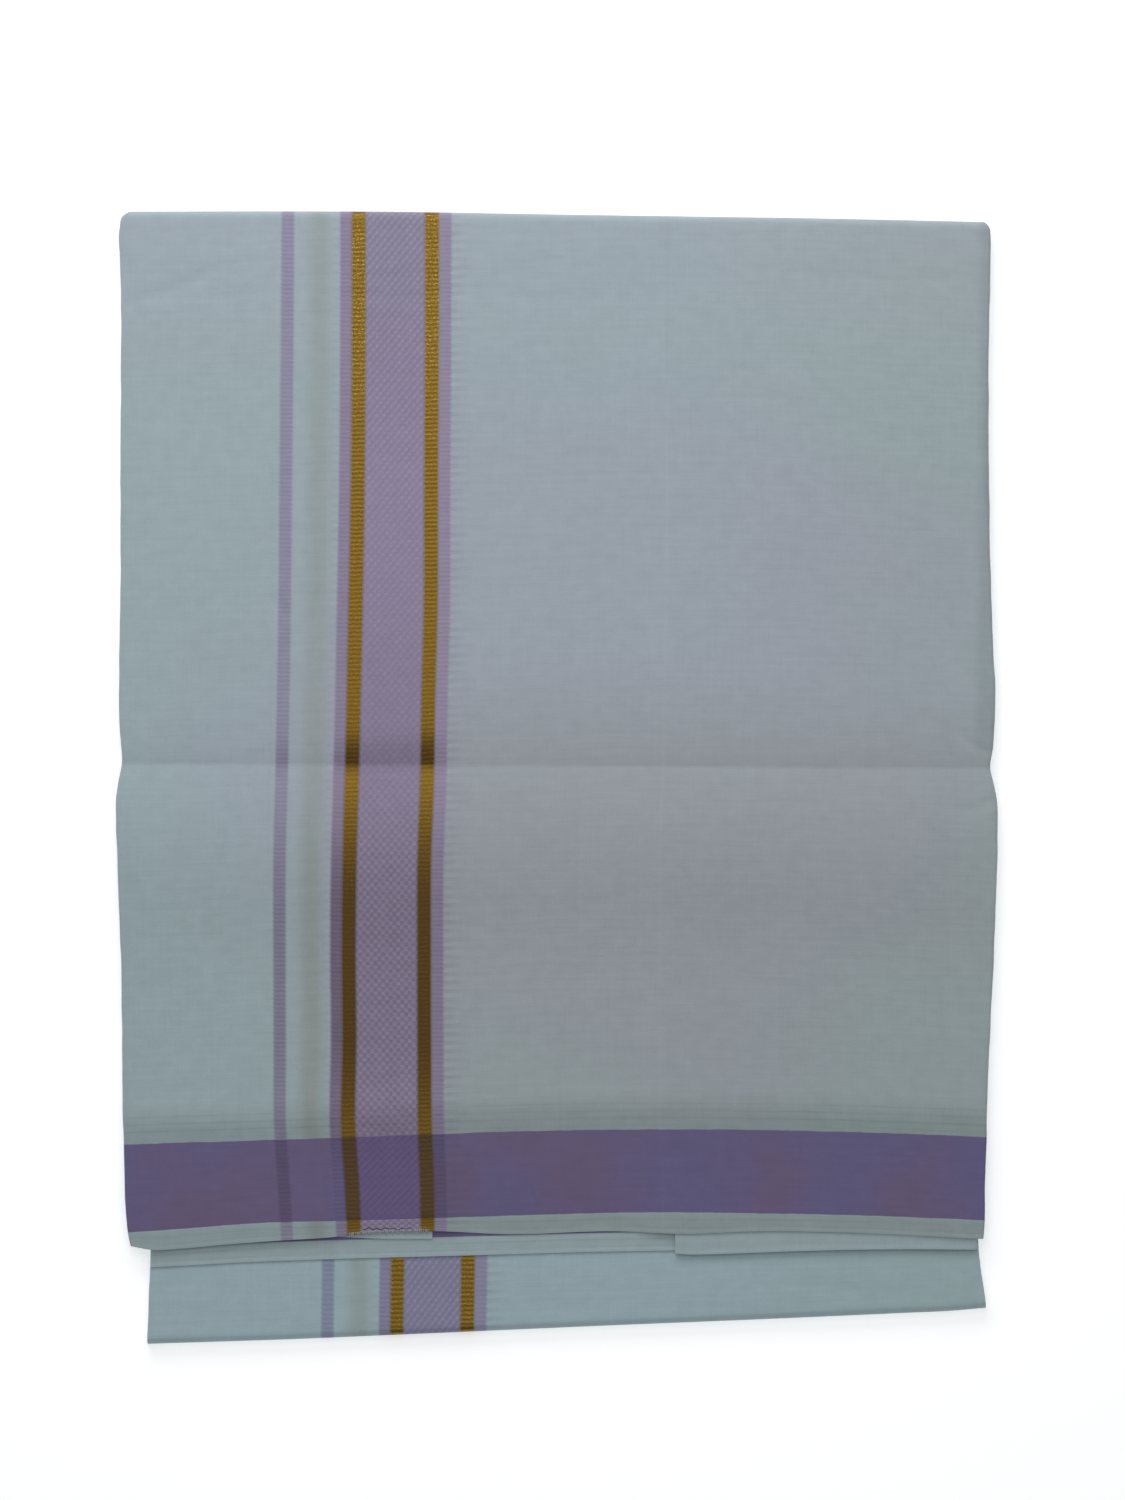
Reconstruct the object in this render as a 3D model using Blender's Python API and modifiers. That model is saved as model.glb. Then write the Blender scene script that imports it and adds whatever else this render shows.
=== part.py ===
"""A dhoti cloth, pressed and folded into a flat pack that lies on a surface.

The cloth is one woven length. Across its width it is folded in a zigzag: a flap, three
full widths and another flap. Along its length it is folded in half twice, so the pack has
a low fold at its front, a tall fold at its back, and both cut ends near the front, the
one on top stopping short of the other. It was once folded across its middle too, which
left a trough there.

Each stretch of cloth that shows is a wall of its own, and the layers that don't show are
one solid with a ridge for each fold along its sides. Seen from above, +X is to the right
and +Y runs from the low front fold to the tall back fold.
"""

import math
from collections import namedtuple

import bmesh
import bpy
import numpy as np

# Sizes in millimetres. The stack is counted in levels, each one wall and one gap high.
MM = 0.001
WALL = 1.0
GAP = 0.3
PITCH = WALL + GAP

LOWER_LEVEL = 4
END_LEVEL = 5
FLAP_LEVEL = 6
TOP_LEVEL = 7
HIDDEN_RIDGES = 3
RIDGE_STEPS = 4

# A side fold turns through one pitch, tucks in and stops. The tall fold ends in a short tail.
LIP_RADIUS = WALL + GAP / 2
LIP_STEPS = 5
LIP_TUCK = 1.6
FOLD_STEPS = 8
TOP_TAIL = 8.0
BACK_INSET = 0.5
FRONT_INSET = WALL + GAP + 0.2

# Where the trough across the pack lies, how deep it is on top and how far it reaches
CREASE_Y = 4.9
CREASE_LEAN = -0.0053
CREASE_DEPTH = 1.3
CREASE_BACK = 9.0
CREASE_FRONT = 6.0
SWELL_Y = -9.0
SWELL_HEIGHT = 0.35
SWELL_REACH = 13.0

# The top leaf sinks a little between the two flaps under it
UNDER_FLAP_END = -49.8
END_FLAP_START = 47.2
SINK_DEPTH = 0.55
SINK_EASE = 16.0
SINK_MARGIN = 1.5
RIDGE_HEIGHT = 0.2
RIDGE_REACH = 5.0

# How far from an end of a leaf its slant still shows in the rows beside it
END_FADE = 45.0

# Sections along the pack, shared by all leaves so that they stay parallel: wide apart in
# front and behind, and close together where the trough crosses
FRONT_ROWS = (-205, -195, -176, -160, -140, -119, -96, -74, -50, -30, -20)
TROUGH_ROWS = (-12, -6, -2, 1.5, 5, 8.5, 12, 17)
BACK_ROWS = (24, 34, 46, 75, 115, 155, 195, 212)
ROW_MARGIN = 4.0

# Places across the pack: close together on the top leaf where it steps down beside a flap
TOP_COLUMNS = (-150, -110, -75, -48, -42, -35, -28, 0, 28, 34, 40, 45, 49, 55, 80, 115, 150)
PLAIN_COLUMNS = (-110, -45, 45, 110)
SIDE_COLUMN = 110

# The plain cotton as it shows on each stretch
TOP_WHITE = (0.84, 0.86, 0.88)
FLAP_WHITE = (0.80, 0.83, 0.86)
END_WHITE = (0.82, 0.85, 0.88)
LOWER_WHITE = (0.78, 0.84, 0.87)
HIDDEN_WHITE = (0.76, 0.80, 0.83)
ROUGHNESS = 0.85
SHARP_ANGLE = 40

Edge = namedtuple("Edge", "y left right")
Line = namedtuple("Line", "x y")
End = namedtuple("End", "inset squeeze")

# How the hidden layers round off at both ends, from the very end inwards
HIDDEN_ENDS = (End(0.0, 0.35), End(0.5, 0.8), End(1.6, 1.0))

# Both sides of the top leaf: pinched at the trough, full in front of it
TOP_EDGES = (
    Edge(-188, -168.6, 168.8),
    Edge(-181, -170.5, 170.8),
    Edge(-143, -173.0, 171.1),
    Edge(-119, -173.3, 172.0),
    Edge(-96, -173.6, 173.4),
    Edge(-74, -173.8, 174.6),
    Edge(-50, -174.9, 175.6),
    Edge(-30, -175.7, 176.4),
    Edge(-6, -176.4, 176.0),
    Edge(5, -173.8, 173.0),
    Edge(29, -174.8, 175.2),
    Edge(46, -175.0, 174.6),
    Edge(115, -174.2, 172.8),
    Edge(200, -174.0, 173.2),
    Edge(220, -174.8, 173.2),
    Edge(223, -173.6, 172.6),
    Edge(226, -171.4, 171.4),
)

# Both sides of the layers under it, which lie further in on the left
LOWER_EDGES = (
    Edge(-226, -163.5, 169.6),
    Edge(-212, -163.4, 171.4),
    Edge(-195, -162.8, 169.6),
    Edge(-186, -162.5, 168.4),
    Edge(-140, -163.6, 168.6),
    Edge(-50, -168.6, 170.6),
    Edge(-6, -171.0, 171.6),
    Edge(5, -170.0, 169.8),
    Edge(46, -171.2, 171.0),
    Edge(150, -170.6, 169.6),
    Edge(205, -167.4, 167.2),
    Edge(226, -167.4, 167.2),
)

# The ends of the stretches, seen from above
BACK_FOLD = (
    Line(-171, 226.4),
    Line(-42, 225.6),
    Line(0, 225.2),
    Line(80, 223.9),
    Line(172, 222.0),
)
FRONT_FOLD = (
    Line(-164, -226.4),
    Line(-90, -223.8),
    Line(0, -220.0),
    Line(98, -215.6),
    Line(171, -211.4),
)
TOP_HEM = (
    Line(-169, -186.4),
    Line(-160, -188.4),
    Line(-132, -186.2),
    Line(-110, -184.6),
    Line(-89, -183.2),
    Line(-78, -181.8),
    Line(-50, -180.9),
    Line(-20, -182.2),
    Line(22, -181.0),
    Line(53, -182.0),
    Line(79, -181.0),
    Line(125, -181.8),
    Line(168, -184.0),
)
UNDER_HEM = (Line(-168, -182.0), Line(-89, -183.2), Line(-70, -184.0), Line(-50, -184.0))
END_HEM = (
    Line(-162, -196.6),
    Line(-142, -194.5),
    Line(-94, -192.6),
    Line(-30, -190.6),
    Line(17, -189.3),
    Line(47, -188.8),
    Line(165, -187.4),
)
END_FLAP_HEM = (
    Line(47, -189.8),
    Line(52, -190.7),
    Line(79, -189.0),
    Line(114, -187.5),
    Line(151, -188.8),
    Line(168, -188.0),
)


def level_bottom(level):
    return level * PITCH


def level_top(level):
    return level * PITCH + WALL


# From a side fold's edge to where the stretch beside its tuck can start
LIP_REACH = LIP_RADIUS + LIP_TUCK + GAP

PACK_HEIGHT = level_top(TOP_LEVEL)
BACK_RADIUS = PACK_HEIGHT / 2
FRONT_RADIUS = level_top(LOWER_LEVEL) / 2


def ease(share):
    """From 0 to 1 with a level start and end."""
    share = min(max(share, 0.0), 1.0)
    return share * share * (3 - 2 * share)


def along(table, key, value, at):
    """Reads the column named value where the column named key is at, on a smooth curve."""
    keys = [getattr(row, key) for row in table]
    values = [getattr(row, value) for row in table]
    if at <= keys[0]:
        return values[0]
    if at >= keys[-1]:
        return values[-1]
    slopes = np.gradient(values, keys)
    i = int(np.searchsorted(keys, at)) - 1
    width = keys[i + 1] - keys[i]
    t = (at - keys[i]) / width
    return (
        values[i] * (1 + 2 * t) * (1 - t) ** 2
        + slopes[i] * width * t * (1 - t) ** 2
        + values[i + 1] * t * t * (3 - 2 * t)
        + slopes[i + 1] * width * t * t * (t - 1)
    )


def middle_of(line):
    return along(line, "x", "y", 0.0)


def settled(row, z):
    """The height z once the trough and the swell in front of it are pressed into the pack.
    Both fade downwards, so the underside stays flat."""
    from_crease = row - CREASE_Y
    reach = CREASE_BACK if from_crease > 0 else CREASE_FRONT
    trough = CREASE_DEPTH * math.exp(-((from_crease / reach) ** 2))
    swell = SWELL_HEIGHT * math.exp(-(((row - SWELL_Y) / SWELL_REACH) ** 2))
    share = max(z - WALL, 0.0) / (PACK_HEIGHT - WALL)
    return z + (swell - trough) * share


def slanted(row, x, front, back):
    """Where a section crosses x: it leans with the end that it is near, and with the trough."""
    to_front = 1 - ease((row - middle_of(front)) / END_FADE)
    to_back = 1 - ease((middle_of(back) - row) / END_FADE)
    lean = CREASE_LEAN * x * (1 - to_front) * (1 - to_back)
    front_shift = (along(front, "x", "y", x) - middle_of(front)) * to_front
    back_shift = (along(back, "x", "y", x) - middle_of(back)) * to_back
    return row + lean + front_shift + back_shift


def rows_between(front, back):
    """The shared sections that lie well inside a leaf, with its own two ends."""
    shared = FRONT_ROWS + TROUGH_ROWS + BACK_ROWS
    inner = [row for row in shared if front + ROW_MARGIN < row < back - ROW_MARGIN]
    return [front] + inner + [back]


def new_object(name, mesh, colour, collection):
    material = bpy.data.materials.new(name)
    material.use_nodes = True
    surface = material.node_tree.nodes["Principled BSDF"]
    surface.inputs["Base Color"].default_value = (*colour, 1.0)
    surface.inputs["Roughness"].default_value = ROUGHNESS
    surface.inputs["Metallic"].default_value = 0.0
    mesh.materials.append(material)
    mesh.shade_smooth()
    mesh.set_sharp_from_angle(angle=math.radians(SHARP_ANGLE))
    piece = bpy.data.objects.new(name, mesh)
    collection.objects.link(piece)
    return piece


def cloth_wall(name, points, colour, collection):
    """A wall whose outer side is the sheet of points, given as rows of equal length in millimetres."""
    row_count, column_count = len(points), len(points[0])
    sheet = bmesh.new()
    bmesh.ops.create_grid(
        sheet, x_segments=column_count - 1, y_segments=row_count - 1, size=1.0
    )
    for vertex in sheet.verts:
        column = round((vertex.co.x + 1) / 2 * (column_count - 1))
        row = round((vertex.co.y + 1) / 2 * (row_count - 1))
        vertex.co = [value * MM for value in points[row][column]]
    mesh = bpy.data.meshes.new(name)
    sheet.to_mesh(mesh)
    sheet.free()
    piece = new_object(name, mesh, colour, collection)
    wall = piece.modifiers.new("Wall", "SOLIDIFY")
    wall.thickness = WALL * MM
    wall.offset = -1.0
    wall.use_even_offset = True
    return piece


def lip(edge, inward):
    """The turn of a side fold as (x, depth), from the top of the fold to the end of its tuck."""
    turn = []
    for step in range(LIP_STEPS + 1):
        angle = math.pi * step / LIP_STEPS
        x = edge + inward * LIP_RADIUS * (1 - math.sin(angle))
        turn.append((x, LIP_RADIUS * (1 - math.cos(angle))))
    turn.append((edge + inward * (LIP_RADIUS + LIP_TUCK), 2 * LIP_RADIUS))
    return turn


def top_section(row):
    """The top leaf from left to right as (x, depth), with both side folds."""
    left = along(TOP_EDGES, "y", "left", row)
    right = along(TOP_EDGES, "y", "right", row)
    return lip(left, 1)[::-1] + [(x, 0.0) for x in TOP_COLUMNS] + lip(right, -1)


def sink(x, row):
    """How far the top leaf lies below its level, between the flaps and at its hem."""
    from_under = ease((x - UNDER_FLAP_END - SINK_MARGIN) / SINK_EASE)
    from_end = ease((END_FLAP_START - SINK_MARGIN - x) / SINK_EASE)
    ridge = RIDGE_HEIGHT * math.exp(-(((x - END_FLAP_START) / RIDGE_REACH) ** 2))
    to_back = ease((middle_of(BACK_FOLD) - BACK_RADIUS - row) / END_FADE)
    return (SINK_DEPTH * from_under * from_end - ridge) * to_back


def top_leaf(collection):
    """From the hem back over the pack, round the tall fold and a little way under."""
    straight = rows_between(middle_of(TOP_HEM), middle_of(BACK_FOLD) - BACK_RADIUS)
    points = []
    for row in straight:
        level = []
        for x, depth in top_section(row):
            lowered = sink(x, row) if depth == 0.0 else depth
            z = settled(row, PACK_HEIGHT - lowered)
            level.append((x, slanted(row, x, TOP_HEM, BACK_FOLD), z))
        points.append(level)
    for step in range(1, FOLD_STEPS + 1):
        angle = math.pi * step / FOLD_STEPS
        section = top_section(middle_of(BACK_FOLD) - BACK_RADIUS * (1 - math.sin(angle)))
        turned = []
        for x, depth in section:
            radius = BACK_RADIUS - depth
            centre = along(BACK_FOLD, "x", "y", x) - BACK_RADIUS
            y = centre + radius * math.sin(angle)
            turned.append((x, y, BACK_RADIUS + radius * math.cos(angle)))
        points.append(turned)
    points.append([(x, y - TOP_TAIL, z) for x, y, z in points[-1]])
    return cloth_wall("top_leaf", points, TOP_WHITE, collection)


def flat_points(rows, level, columns, front, back):
    """A stretch that lies flat: columns gives its places across at a row, left to right."""
    return [
        [
            (x, slanted(row, x, front, back), settled(row, level_top(level)))
            for x in columns(row)
        ]
        for row in rows
    ]


def inner_back():
    """The line where the inner stretches stop, just inside the tall fold."""
    return [Line(at.x, at.y - BACK_RADIUS + BACK_INSET) for at in BACK_FOLD]


def under_flap(collection):
    """The flap under the top leaf's left side, from its side fold to the selvedge."""
    back = inner_back()

    def columns(row):
        side = along(TOP_EDGES, "y", "left", row) + LIP_REACH
        return (side, -SIDE_COLUMN, UNDER_FLAP_END)

    rows = rows_between(middle_of(UNDER_HEM), middle_of(back))
    points = flat_points(rows, FLAP_LEVEL, columns, UNDER_HEM, back)
    return cloth_wall("under_flap", points, FLAP_WHITE, collection)


def end_flap(collection):
    """The other end's flap, on the right, with the side fold that joins it to its leaf."""
    back = inner_back()
    points = []
    for row in rows_between(middle_of(END_FLAP_HEM), middle_of(back)):
        side = along(TOP_EDGES, "y", "right", row) - LIP_REACH
        section = []
        for x, depth in [(END_FLAP_START, 0.0), (SIDE_COLUMN, 0.0)] + lip(side, -1):
            z = settled(row, level_top(FLAP_LEVEL) - depth)
            section.append((x, slanted(row, x, END_FLAP_HEM, back), z))
        points.append(section)
    return cloth_wall("end_flap", points, FLAP_WHITE, collection)


def end_leaf(collection):
    """The other end's leaf, whose white margin shows in front of the top leaf's hem."""
    back = inner_back()

    def columns(row):
        fold = along(TOP_EDGES, "y", "right", row) - 2 * LIP_REACH
        return (along(LOWER_EDGES, "y", "left", row), *PLAIN_COLUMNS, fold)

    rows = rows_between(middle_of(END_HEM), middle_of(back))
    points = flat_points(rows, END_LEVEL, columns, END_HEM, back)
    return cloth_wall("end_leaf", points, END_WHITE, collection)


def lower_columns(row):
    left = along(LOWER_EDGES, "y", "left", row)
    right = along(LOWER_EDGES, "y", "right", row)
    return (left, *PLAIN_COLUMNS, right)


def lower_leaf(collection):
    """From the tall fold forward along the floor, round the low front fold and back on top."""
    back = inner_back()
    front_row = middle_of(FRONT_FOLD) + FRONT_RADIUS
    floor_back = [Line(at.x, at.y - BACK_RADIUS - TOP_TAIL - GAP) for at in BACK_FOLD]
    points = [
        [(x, slanted(row, x, FRONT_FOLD, floor_back), 0.0) for x in lower_columns(row)]
        for row in rows_between(front_row, middle_of(floor_back))[::-1]
    ]
    for step in range(1, FOLD_STEPS):
        angle = math.pi * step / FOLD_STEPS
        row = front_row - FRONT_RADIUS * math.sin(angle)
        turned = []
        for x in lower_columns(row):
            y = along(FRONT_FOLD, "x", "y", x) + FRONT_RADIUS * (1 - math.sin(angle))
            turned.append((x, y, FRONT_RADIUS * (1 - math.cos(angle))))
        points.append(turned)
    rows = rows_between(front_row, middle_of(back))
    points += flat_points(rows, LOWER_LEVEL, lower_columns, FRONT_FOLD, back)
    return cloth_wall("lower_leaf", points, LOWER_WHITE, collection)


def hidden_section(row, squeeze):
    """The hidden layers as a ring of (x, z), with a ridge for each fold on both sides."""
    left = along(LOWER_EDGES, "y", "left", row)
    right = along(LOWER_EDGES, "y", "right", row)
    bottom = level_top(0) + GAP
    height = level_bottom(LOWER_LEVEL) - GAP - bottom
    radius = height / HIDDEN_RIDGES / 2
    side = []
    for ridge in range(HIDDEN_RIDGES):
        for step in range(RIDGE_STEPS):
            angle = math.pi * step / RIDGE_STEPS
            z = bottom + radius * (2 * ridge + 1 - math.cos(angle))
            side.append((radius * (1 - math.sin(angle)), z))
    side.append((radius, bottom + height))
    middle = bottom + height / 2
    ring = [(right - inset, z) for inset, z in side]
    ring += [(x, bottom + height) for x in PLAIN_COLUMNS[::-1]]
    ring += [(left + inset, z) for inset, z in side[::-1]]
    ring += [(x, bottom) for x in PLAIN_COLUMNS]
    return [(x, middle + (z - middle) * squeeze) for x, z in ring]


def hidden_layers(collection):
    """The layers between the underside and the lower leaf, rounded off inside both folds."""
    front = [Line(at.x, at.y + FRONT_INSET) for at in FRONT_FOLD]
    back = inner_back()
    rows = rows_between(middle_of(front), middle_of(back))
    sections = [(rows[0] + end.inset, end.squeeze) for end in HIDDEN_ENDS]
    sections += [(row, 1.0) for row in rows[1:-1]]
    sections += [(rows[-1] - end.inset, end.squeeze) for end in HIDDEN_ENDS[::-1]]

    solid = bmesh.new()
    rings = []
    for row, squeeze in sections:
        ring = [
            solid.verts.new([x * MM, slanted(row, x, front, back) * MM, settled(row, z) * MM])
            for x, z in hidden_section(row, squeeze)
        ]
        rings.append(ring)
    for first, second in zip(rings, rings[1:]):
        for i in range(len(first)):
            j = (i + 1) % len(first)
            solid.faces.new([first[i], second[i], second[j], first[j]])
    solid.faces.new(rings[0])
    solid.faces.new(rings[-1][::-1])
    bmesh.ops.recalc_face_normals(solid, faces=solid.faces)
    mesh = bpy.data.meshes.new("hidden_layers")
    solid.to_mesh(mesh)
    solid.free()
    return new_object("hidden_layers", mesh, HIDDEN_WHITE, collection)


def main():
    for old in list(bpy.data.objects):
        bpy.data.objects.remove(old, do_unlink=True)
    collection = bpy.data.collections.new("dhoti_cloth")
    bpy.context.scene.collection.children.link(collection)
    lower_leaf(collection)
    hidden_layers(collection)
    end_leaf(collection)
    end_flap(collection)
    under_flap(collection)
    top_leaf(collection)


main()
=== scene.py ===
"""The looks of the folded dhoti: thin cloth on each solid's form, its woven stripes, the
creases of pressing and storing, and the loose threads at its hem.

Sizes are in millimetres, as in the part's source, whose shared values are repeated here.
Each stretch of cloth is a grid of points with a place in the woven length: u runs across
from the first gold stripe's left edge, and v runs back from the weft band's front edge.
"""

import math
from collections import namedtuple

import bpy
import numpy as np
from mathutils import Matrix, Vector


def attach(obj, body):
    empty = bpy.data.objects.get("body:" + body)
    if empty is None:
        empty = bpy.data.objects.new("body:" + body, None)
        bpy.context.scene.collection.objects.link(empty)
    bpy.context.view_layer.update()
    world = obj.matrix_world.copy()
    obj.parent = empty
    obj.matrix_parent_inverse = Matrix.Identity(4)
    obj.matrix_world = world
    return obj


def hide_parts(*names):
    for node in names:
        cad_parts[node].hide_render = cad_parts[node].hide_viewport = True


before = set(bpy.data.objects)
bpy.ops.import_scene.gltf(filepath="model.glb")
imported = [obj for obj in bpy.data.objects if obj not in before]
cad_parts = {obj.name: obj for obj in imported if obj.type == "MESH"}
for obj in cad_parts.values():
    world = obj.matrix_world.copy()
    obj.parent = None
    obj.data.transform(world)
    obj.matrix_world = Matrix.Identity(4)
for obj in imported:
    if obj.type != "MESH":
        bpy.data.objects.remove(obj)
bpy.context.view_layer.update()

MM = 0.001

# The stack, as in the part's source: levels of one wall and one gap
WALL = 1.0
GAP = 0.3
PITCH = WALL + GAP
LOWER_LEVEL = 4
END_LEVEL = 5
FLAP_LEVEL = 6
TOP_LEVEL = 7
PACK_HEIGHT = TOP_LEVEL * PITCH + WALL
BACK_RADIUS = PACK_HEIGHT / 2
FRONT_RADIUS = (LOWER_LEVEL * PITCH + WALL) / 2
BACK_INSET = 0.5
TOP_TAIL = 8.0

# The cloth itself, thicker where a hem is turned in
CLOTH = 0.42
HEM_THICKNESS = 0.58
HEM_WIDTH = 1.8
HEM_DROOP = 0.66
HEM_DROOP_REACH = 8.0
ROLL_HEIGHT = 0.12
ROLL_WIDTH = 0.7

# Side folds: the top ones turn round a flap, and the others round nothing
LIP_RADIUS = WALL + GAP / 2
LIP_TUCK = 1.6
LIP_REACH = LIP_RADIUS + LIP_TUCK + GAP
THIN_LIP_RADIUS = WALL / 2
THIN_LIP_TUCK = 3.0
LIP_STEPS = 8
FOLD_STEPS = 18
INNER_TURN = 0.97 * math.pi
BACK_SQUARENESS = 0.6
TAIL_INSET = 4.0

# The pressed crease across the middle, and the swell in front of it
CREASE_Y = 4.9
CREASE_LEAN = -0.0053
CREASE_DEPTH = 1.8
CREASE_BACK = 8.0
CREASE_FRONT = 10.0
SWELL_Y = -20.0
SWELL_HEIGHT = 0.42
SWELL_REACH = 21.0

# The top leaf sinks a little between the two flaps under it
UNDER_FLAP_END = -49.8
END_FLAP_START = 47.2
SINK_DEPTH = 0.55
SINK_EASE = 16.0
SINK_MARGIN = 1.5
MIDDLE_DROOP = 0.75
MIDDLE_DROOP_REACH = 28.0
END_FADE = 45.0

# The flaps under the top leaf don't share its rounded corners, which lie in front of this row
CORNER_ROW = -176.0

# Grid spacing: fine at the hems and in the crease, wide where nothing shows
FINE = 0.6
MIDDLING = 1.1
BROAD = 2.3
UNSEEN = 9.0
CREASE_START = CREASE_Y - 13.0
CREASE_END = CREASE_Y + 13.0
HEM_MARGIN = 9.0
SHARP_ANGLE = 50

# Rough widths of the stretches, and how far the finer columns reach in from their edges
TOP_SPAN = 350
LEAF_SPAN = 330
FLAP_SPAN = 120
TOP_EDGE_REACH = 10
LOWER_EDGE_REACH = 6
INNER_EDGE_REACH = 3

# Relief fades out near a fold and is weaker under the top leaf, where the side waves shift
TOP_RELIEF_FADE = 12
LOWER_RELIEF_FADE = 6
INNER_RELIEF = 0.5
LOWER_RELIEF_LIMIT = 0.05
LOWER_WAVE_SHIFT = 40

# The woven plan across, from the first gold stripe's left edge
THIN_START = -27.8
THIN_END = -22.8
OUTER_START = -4.5
GOLD_WIDTH = 5.8
SECOND_GOLD = 29.6
LILAC_END = 40.2
TEETH_END = 52.0
BAND_LENGTH = 33.4
MARGIN_LENGTH = 7.6
PLAIN_START = 130.0
INNER_PLAIN_START = 330.0
BEYOND_BAND = 3 * BAND_LENGTH

Edge = namedtuple("Edge", "y left right")
Line = namedtuple("Line", "x y")
Stripes = namedtuple("Stripes", "y thin first second")
Mark = namedtuple("Mark", "x0 y0 x1 y1 width depth")
Swell = namedtuple("Swell", "length turn start height")
Fold = namedtuple("Fold", "height inset drift turn")


def rows_of(kind, *rows):
    """A table whose columns are named by its kind of row."""
    return [kind(*row) for row in rows]


# Both sides of the top leaf: pinched at the crease, full in front of it
TOP_EDGES = rows_of(
    Edge,
    (-188, -169.2, 169.6), (-182, -170.4, 170.4), (-177, -171.4, 170.9), (-171, -172.2, 171.0),
    (-158, -172.8, 171.2), (-141, -173.4, 171.7), (-113, -173.8, 172.5), (-97, -173.9, 173.3),
    (-81, -174.1, 174.1), (-65, -174.6, 174.8), (-49, -175.2, 175.4), (-33, -175.8, 175.9),
    (-17, -176.2, 176.2), (-9, -176.3, 176.0), (-1.5, -175.3, 174.6), (4.9, -174.0, 173.3),
    (14.5, -174.5, 174.4), (23, -174.9, 175.0), (32, -175.1, 175.2), (55, -174.8, 174.3),
    (87, -174.4, 173.2), (111, -174.5, 172.8), (159, -174.3, 172.5), (183, -174.2, 172.7),
    (208, -174.7, 173.3), (218, -175.0, 173.3), (223, -174.0, 172.7), (226, -171.6, 171.4),
)
LOWER_EDGES = rows_of(
    Edge,
    (-221, -164.0, 171.8), (-217, -163.9, 171.5), (-210, -163.6, 170.6), (-202, -163.2, 169.8),
    (-194, -162.8, 169.0), (-186, -162.6, 168.5), (-140, -163.6, 168.6), (-50, -168.6, 170.6),
    (-6, -171.0, 171.6), (5, -170.0, 169.8), (46, -171.2, 171.0), (150, -170.6, 169.6),
    (226, -170.6, 169.2),
)

# The ends of the stretches, seen from above
BACK_FOLD = rows_of(
    Line,
    (-171, 226.8), (-103, 226.9), (-63, 226.7), (-42, 226.4), (-3, 225.7), (57, 224.8),
    (97, 224.2), (137, 223.4), (172, 222.6),
)
FRONT_FOLD = rows_of(
    Line,
    (-164, -226.4), (-103, -224.4), (-63, -222.7), (17, -219.2), (97, -215.9), (137, -214.1),
    (160, -213.0), (171, -212.0),
)
TOP_HEM = rows_of(
    Line,
    (-170, -187.0), (-162, -188.4), (-150, -187.8), (-132, -186.2), (-110, -184.6),
    (-89, -183.2), (-78, -181.8), (-50, -180.9), (-20, -182.2), (22, -181.0), (53, -182.0),
    (79, -181.0), (125, -181.8), (168, -184.0),
)
UNDER_HEM = rows_of(Line, (-168, -182.0), (-89, -183.2), (-70, -184.0), (-50, -184.0))
END_HEM = rows_of(
    Line,
    (-162, -195.5), (-150, -194.9), (-138, -194.2), (-118, -193.2), (-98, -192.5),
    (-30, -190.6), (17, -189.3), (47, -188.8), (165, -187.4),
)
END_FLAP_HEM = rows_of(
    Line,
    (47, -189.9), (52, -190.3), (61, -190.2), (81, -189.5), (101, -188.8), (141, -188.2),
    (168, -188.4),
)

# Both edges of the weft band on the top leaf
BAND_BACK = rows_of(
    Line,
    (-173, -146.2), (-110, -144.2), (-86, -143.4), (1, -140.6), (82, -140.4), (134, -141.7),
    (171, -143.2),
)
BAND_FRONT = rows_of(
    Line,
    (-170, -181.3), (-148, -179.8), (-122, -177.8), (-77, -176.6), (1, -174.2), (32, -173.4),
    (85, -173.8), (134, -175.0), (171, -176.6),
)

# Where the stripes run on the top leaf: left edges of the thin lilac and of both golds
TOP_STRIPES = rows_of(
    Stripes,
    (-183, -110.2, -83.9, -54.6), (-161, -111.6, -85.0, -54.8), (-141, -112.9, -86.4, -55.6),
    (-105, -113.2, -85.9, -55.9), (-69, -113.3, -86.2, -56.0), (-33, -113.3, -85.8, -55.9),
    (-1, -112.6, -85.0, -54.8), (31, -111.9, -84.2, -54.3), (71, -111.3, -83.4, -53.3),
    (111, -111.0, -82.6, -53.2), (191, -110.2, -82.1, -52.8), (223, -110.0, -82.1, -52.8),
)
LOWER_STRIPES = rows_of(
    Stripes,
    (-227, -94.4, -67.0, -39.0), (-190, -94.0, -66.4, -38.4), (223, -94.0, -66.4, -38.4),
)
FLOOR_STRIPES = rows_of(
    Stripes,
    (-227, -94.4, -67.0, -39.0), (223, -110.0, -82.2, -53.2),
)

# Every mark bows a little, is whole to this share from its middle, and fades over its ends
MARK_BOW = 0.03
MARK_CORE = 0.32
MARK_END = 0.12

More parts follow.
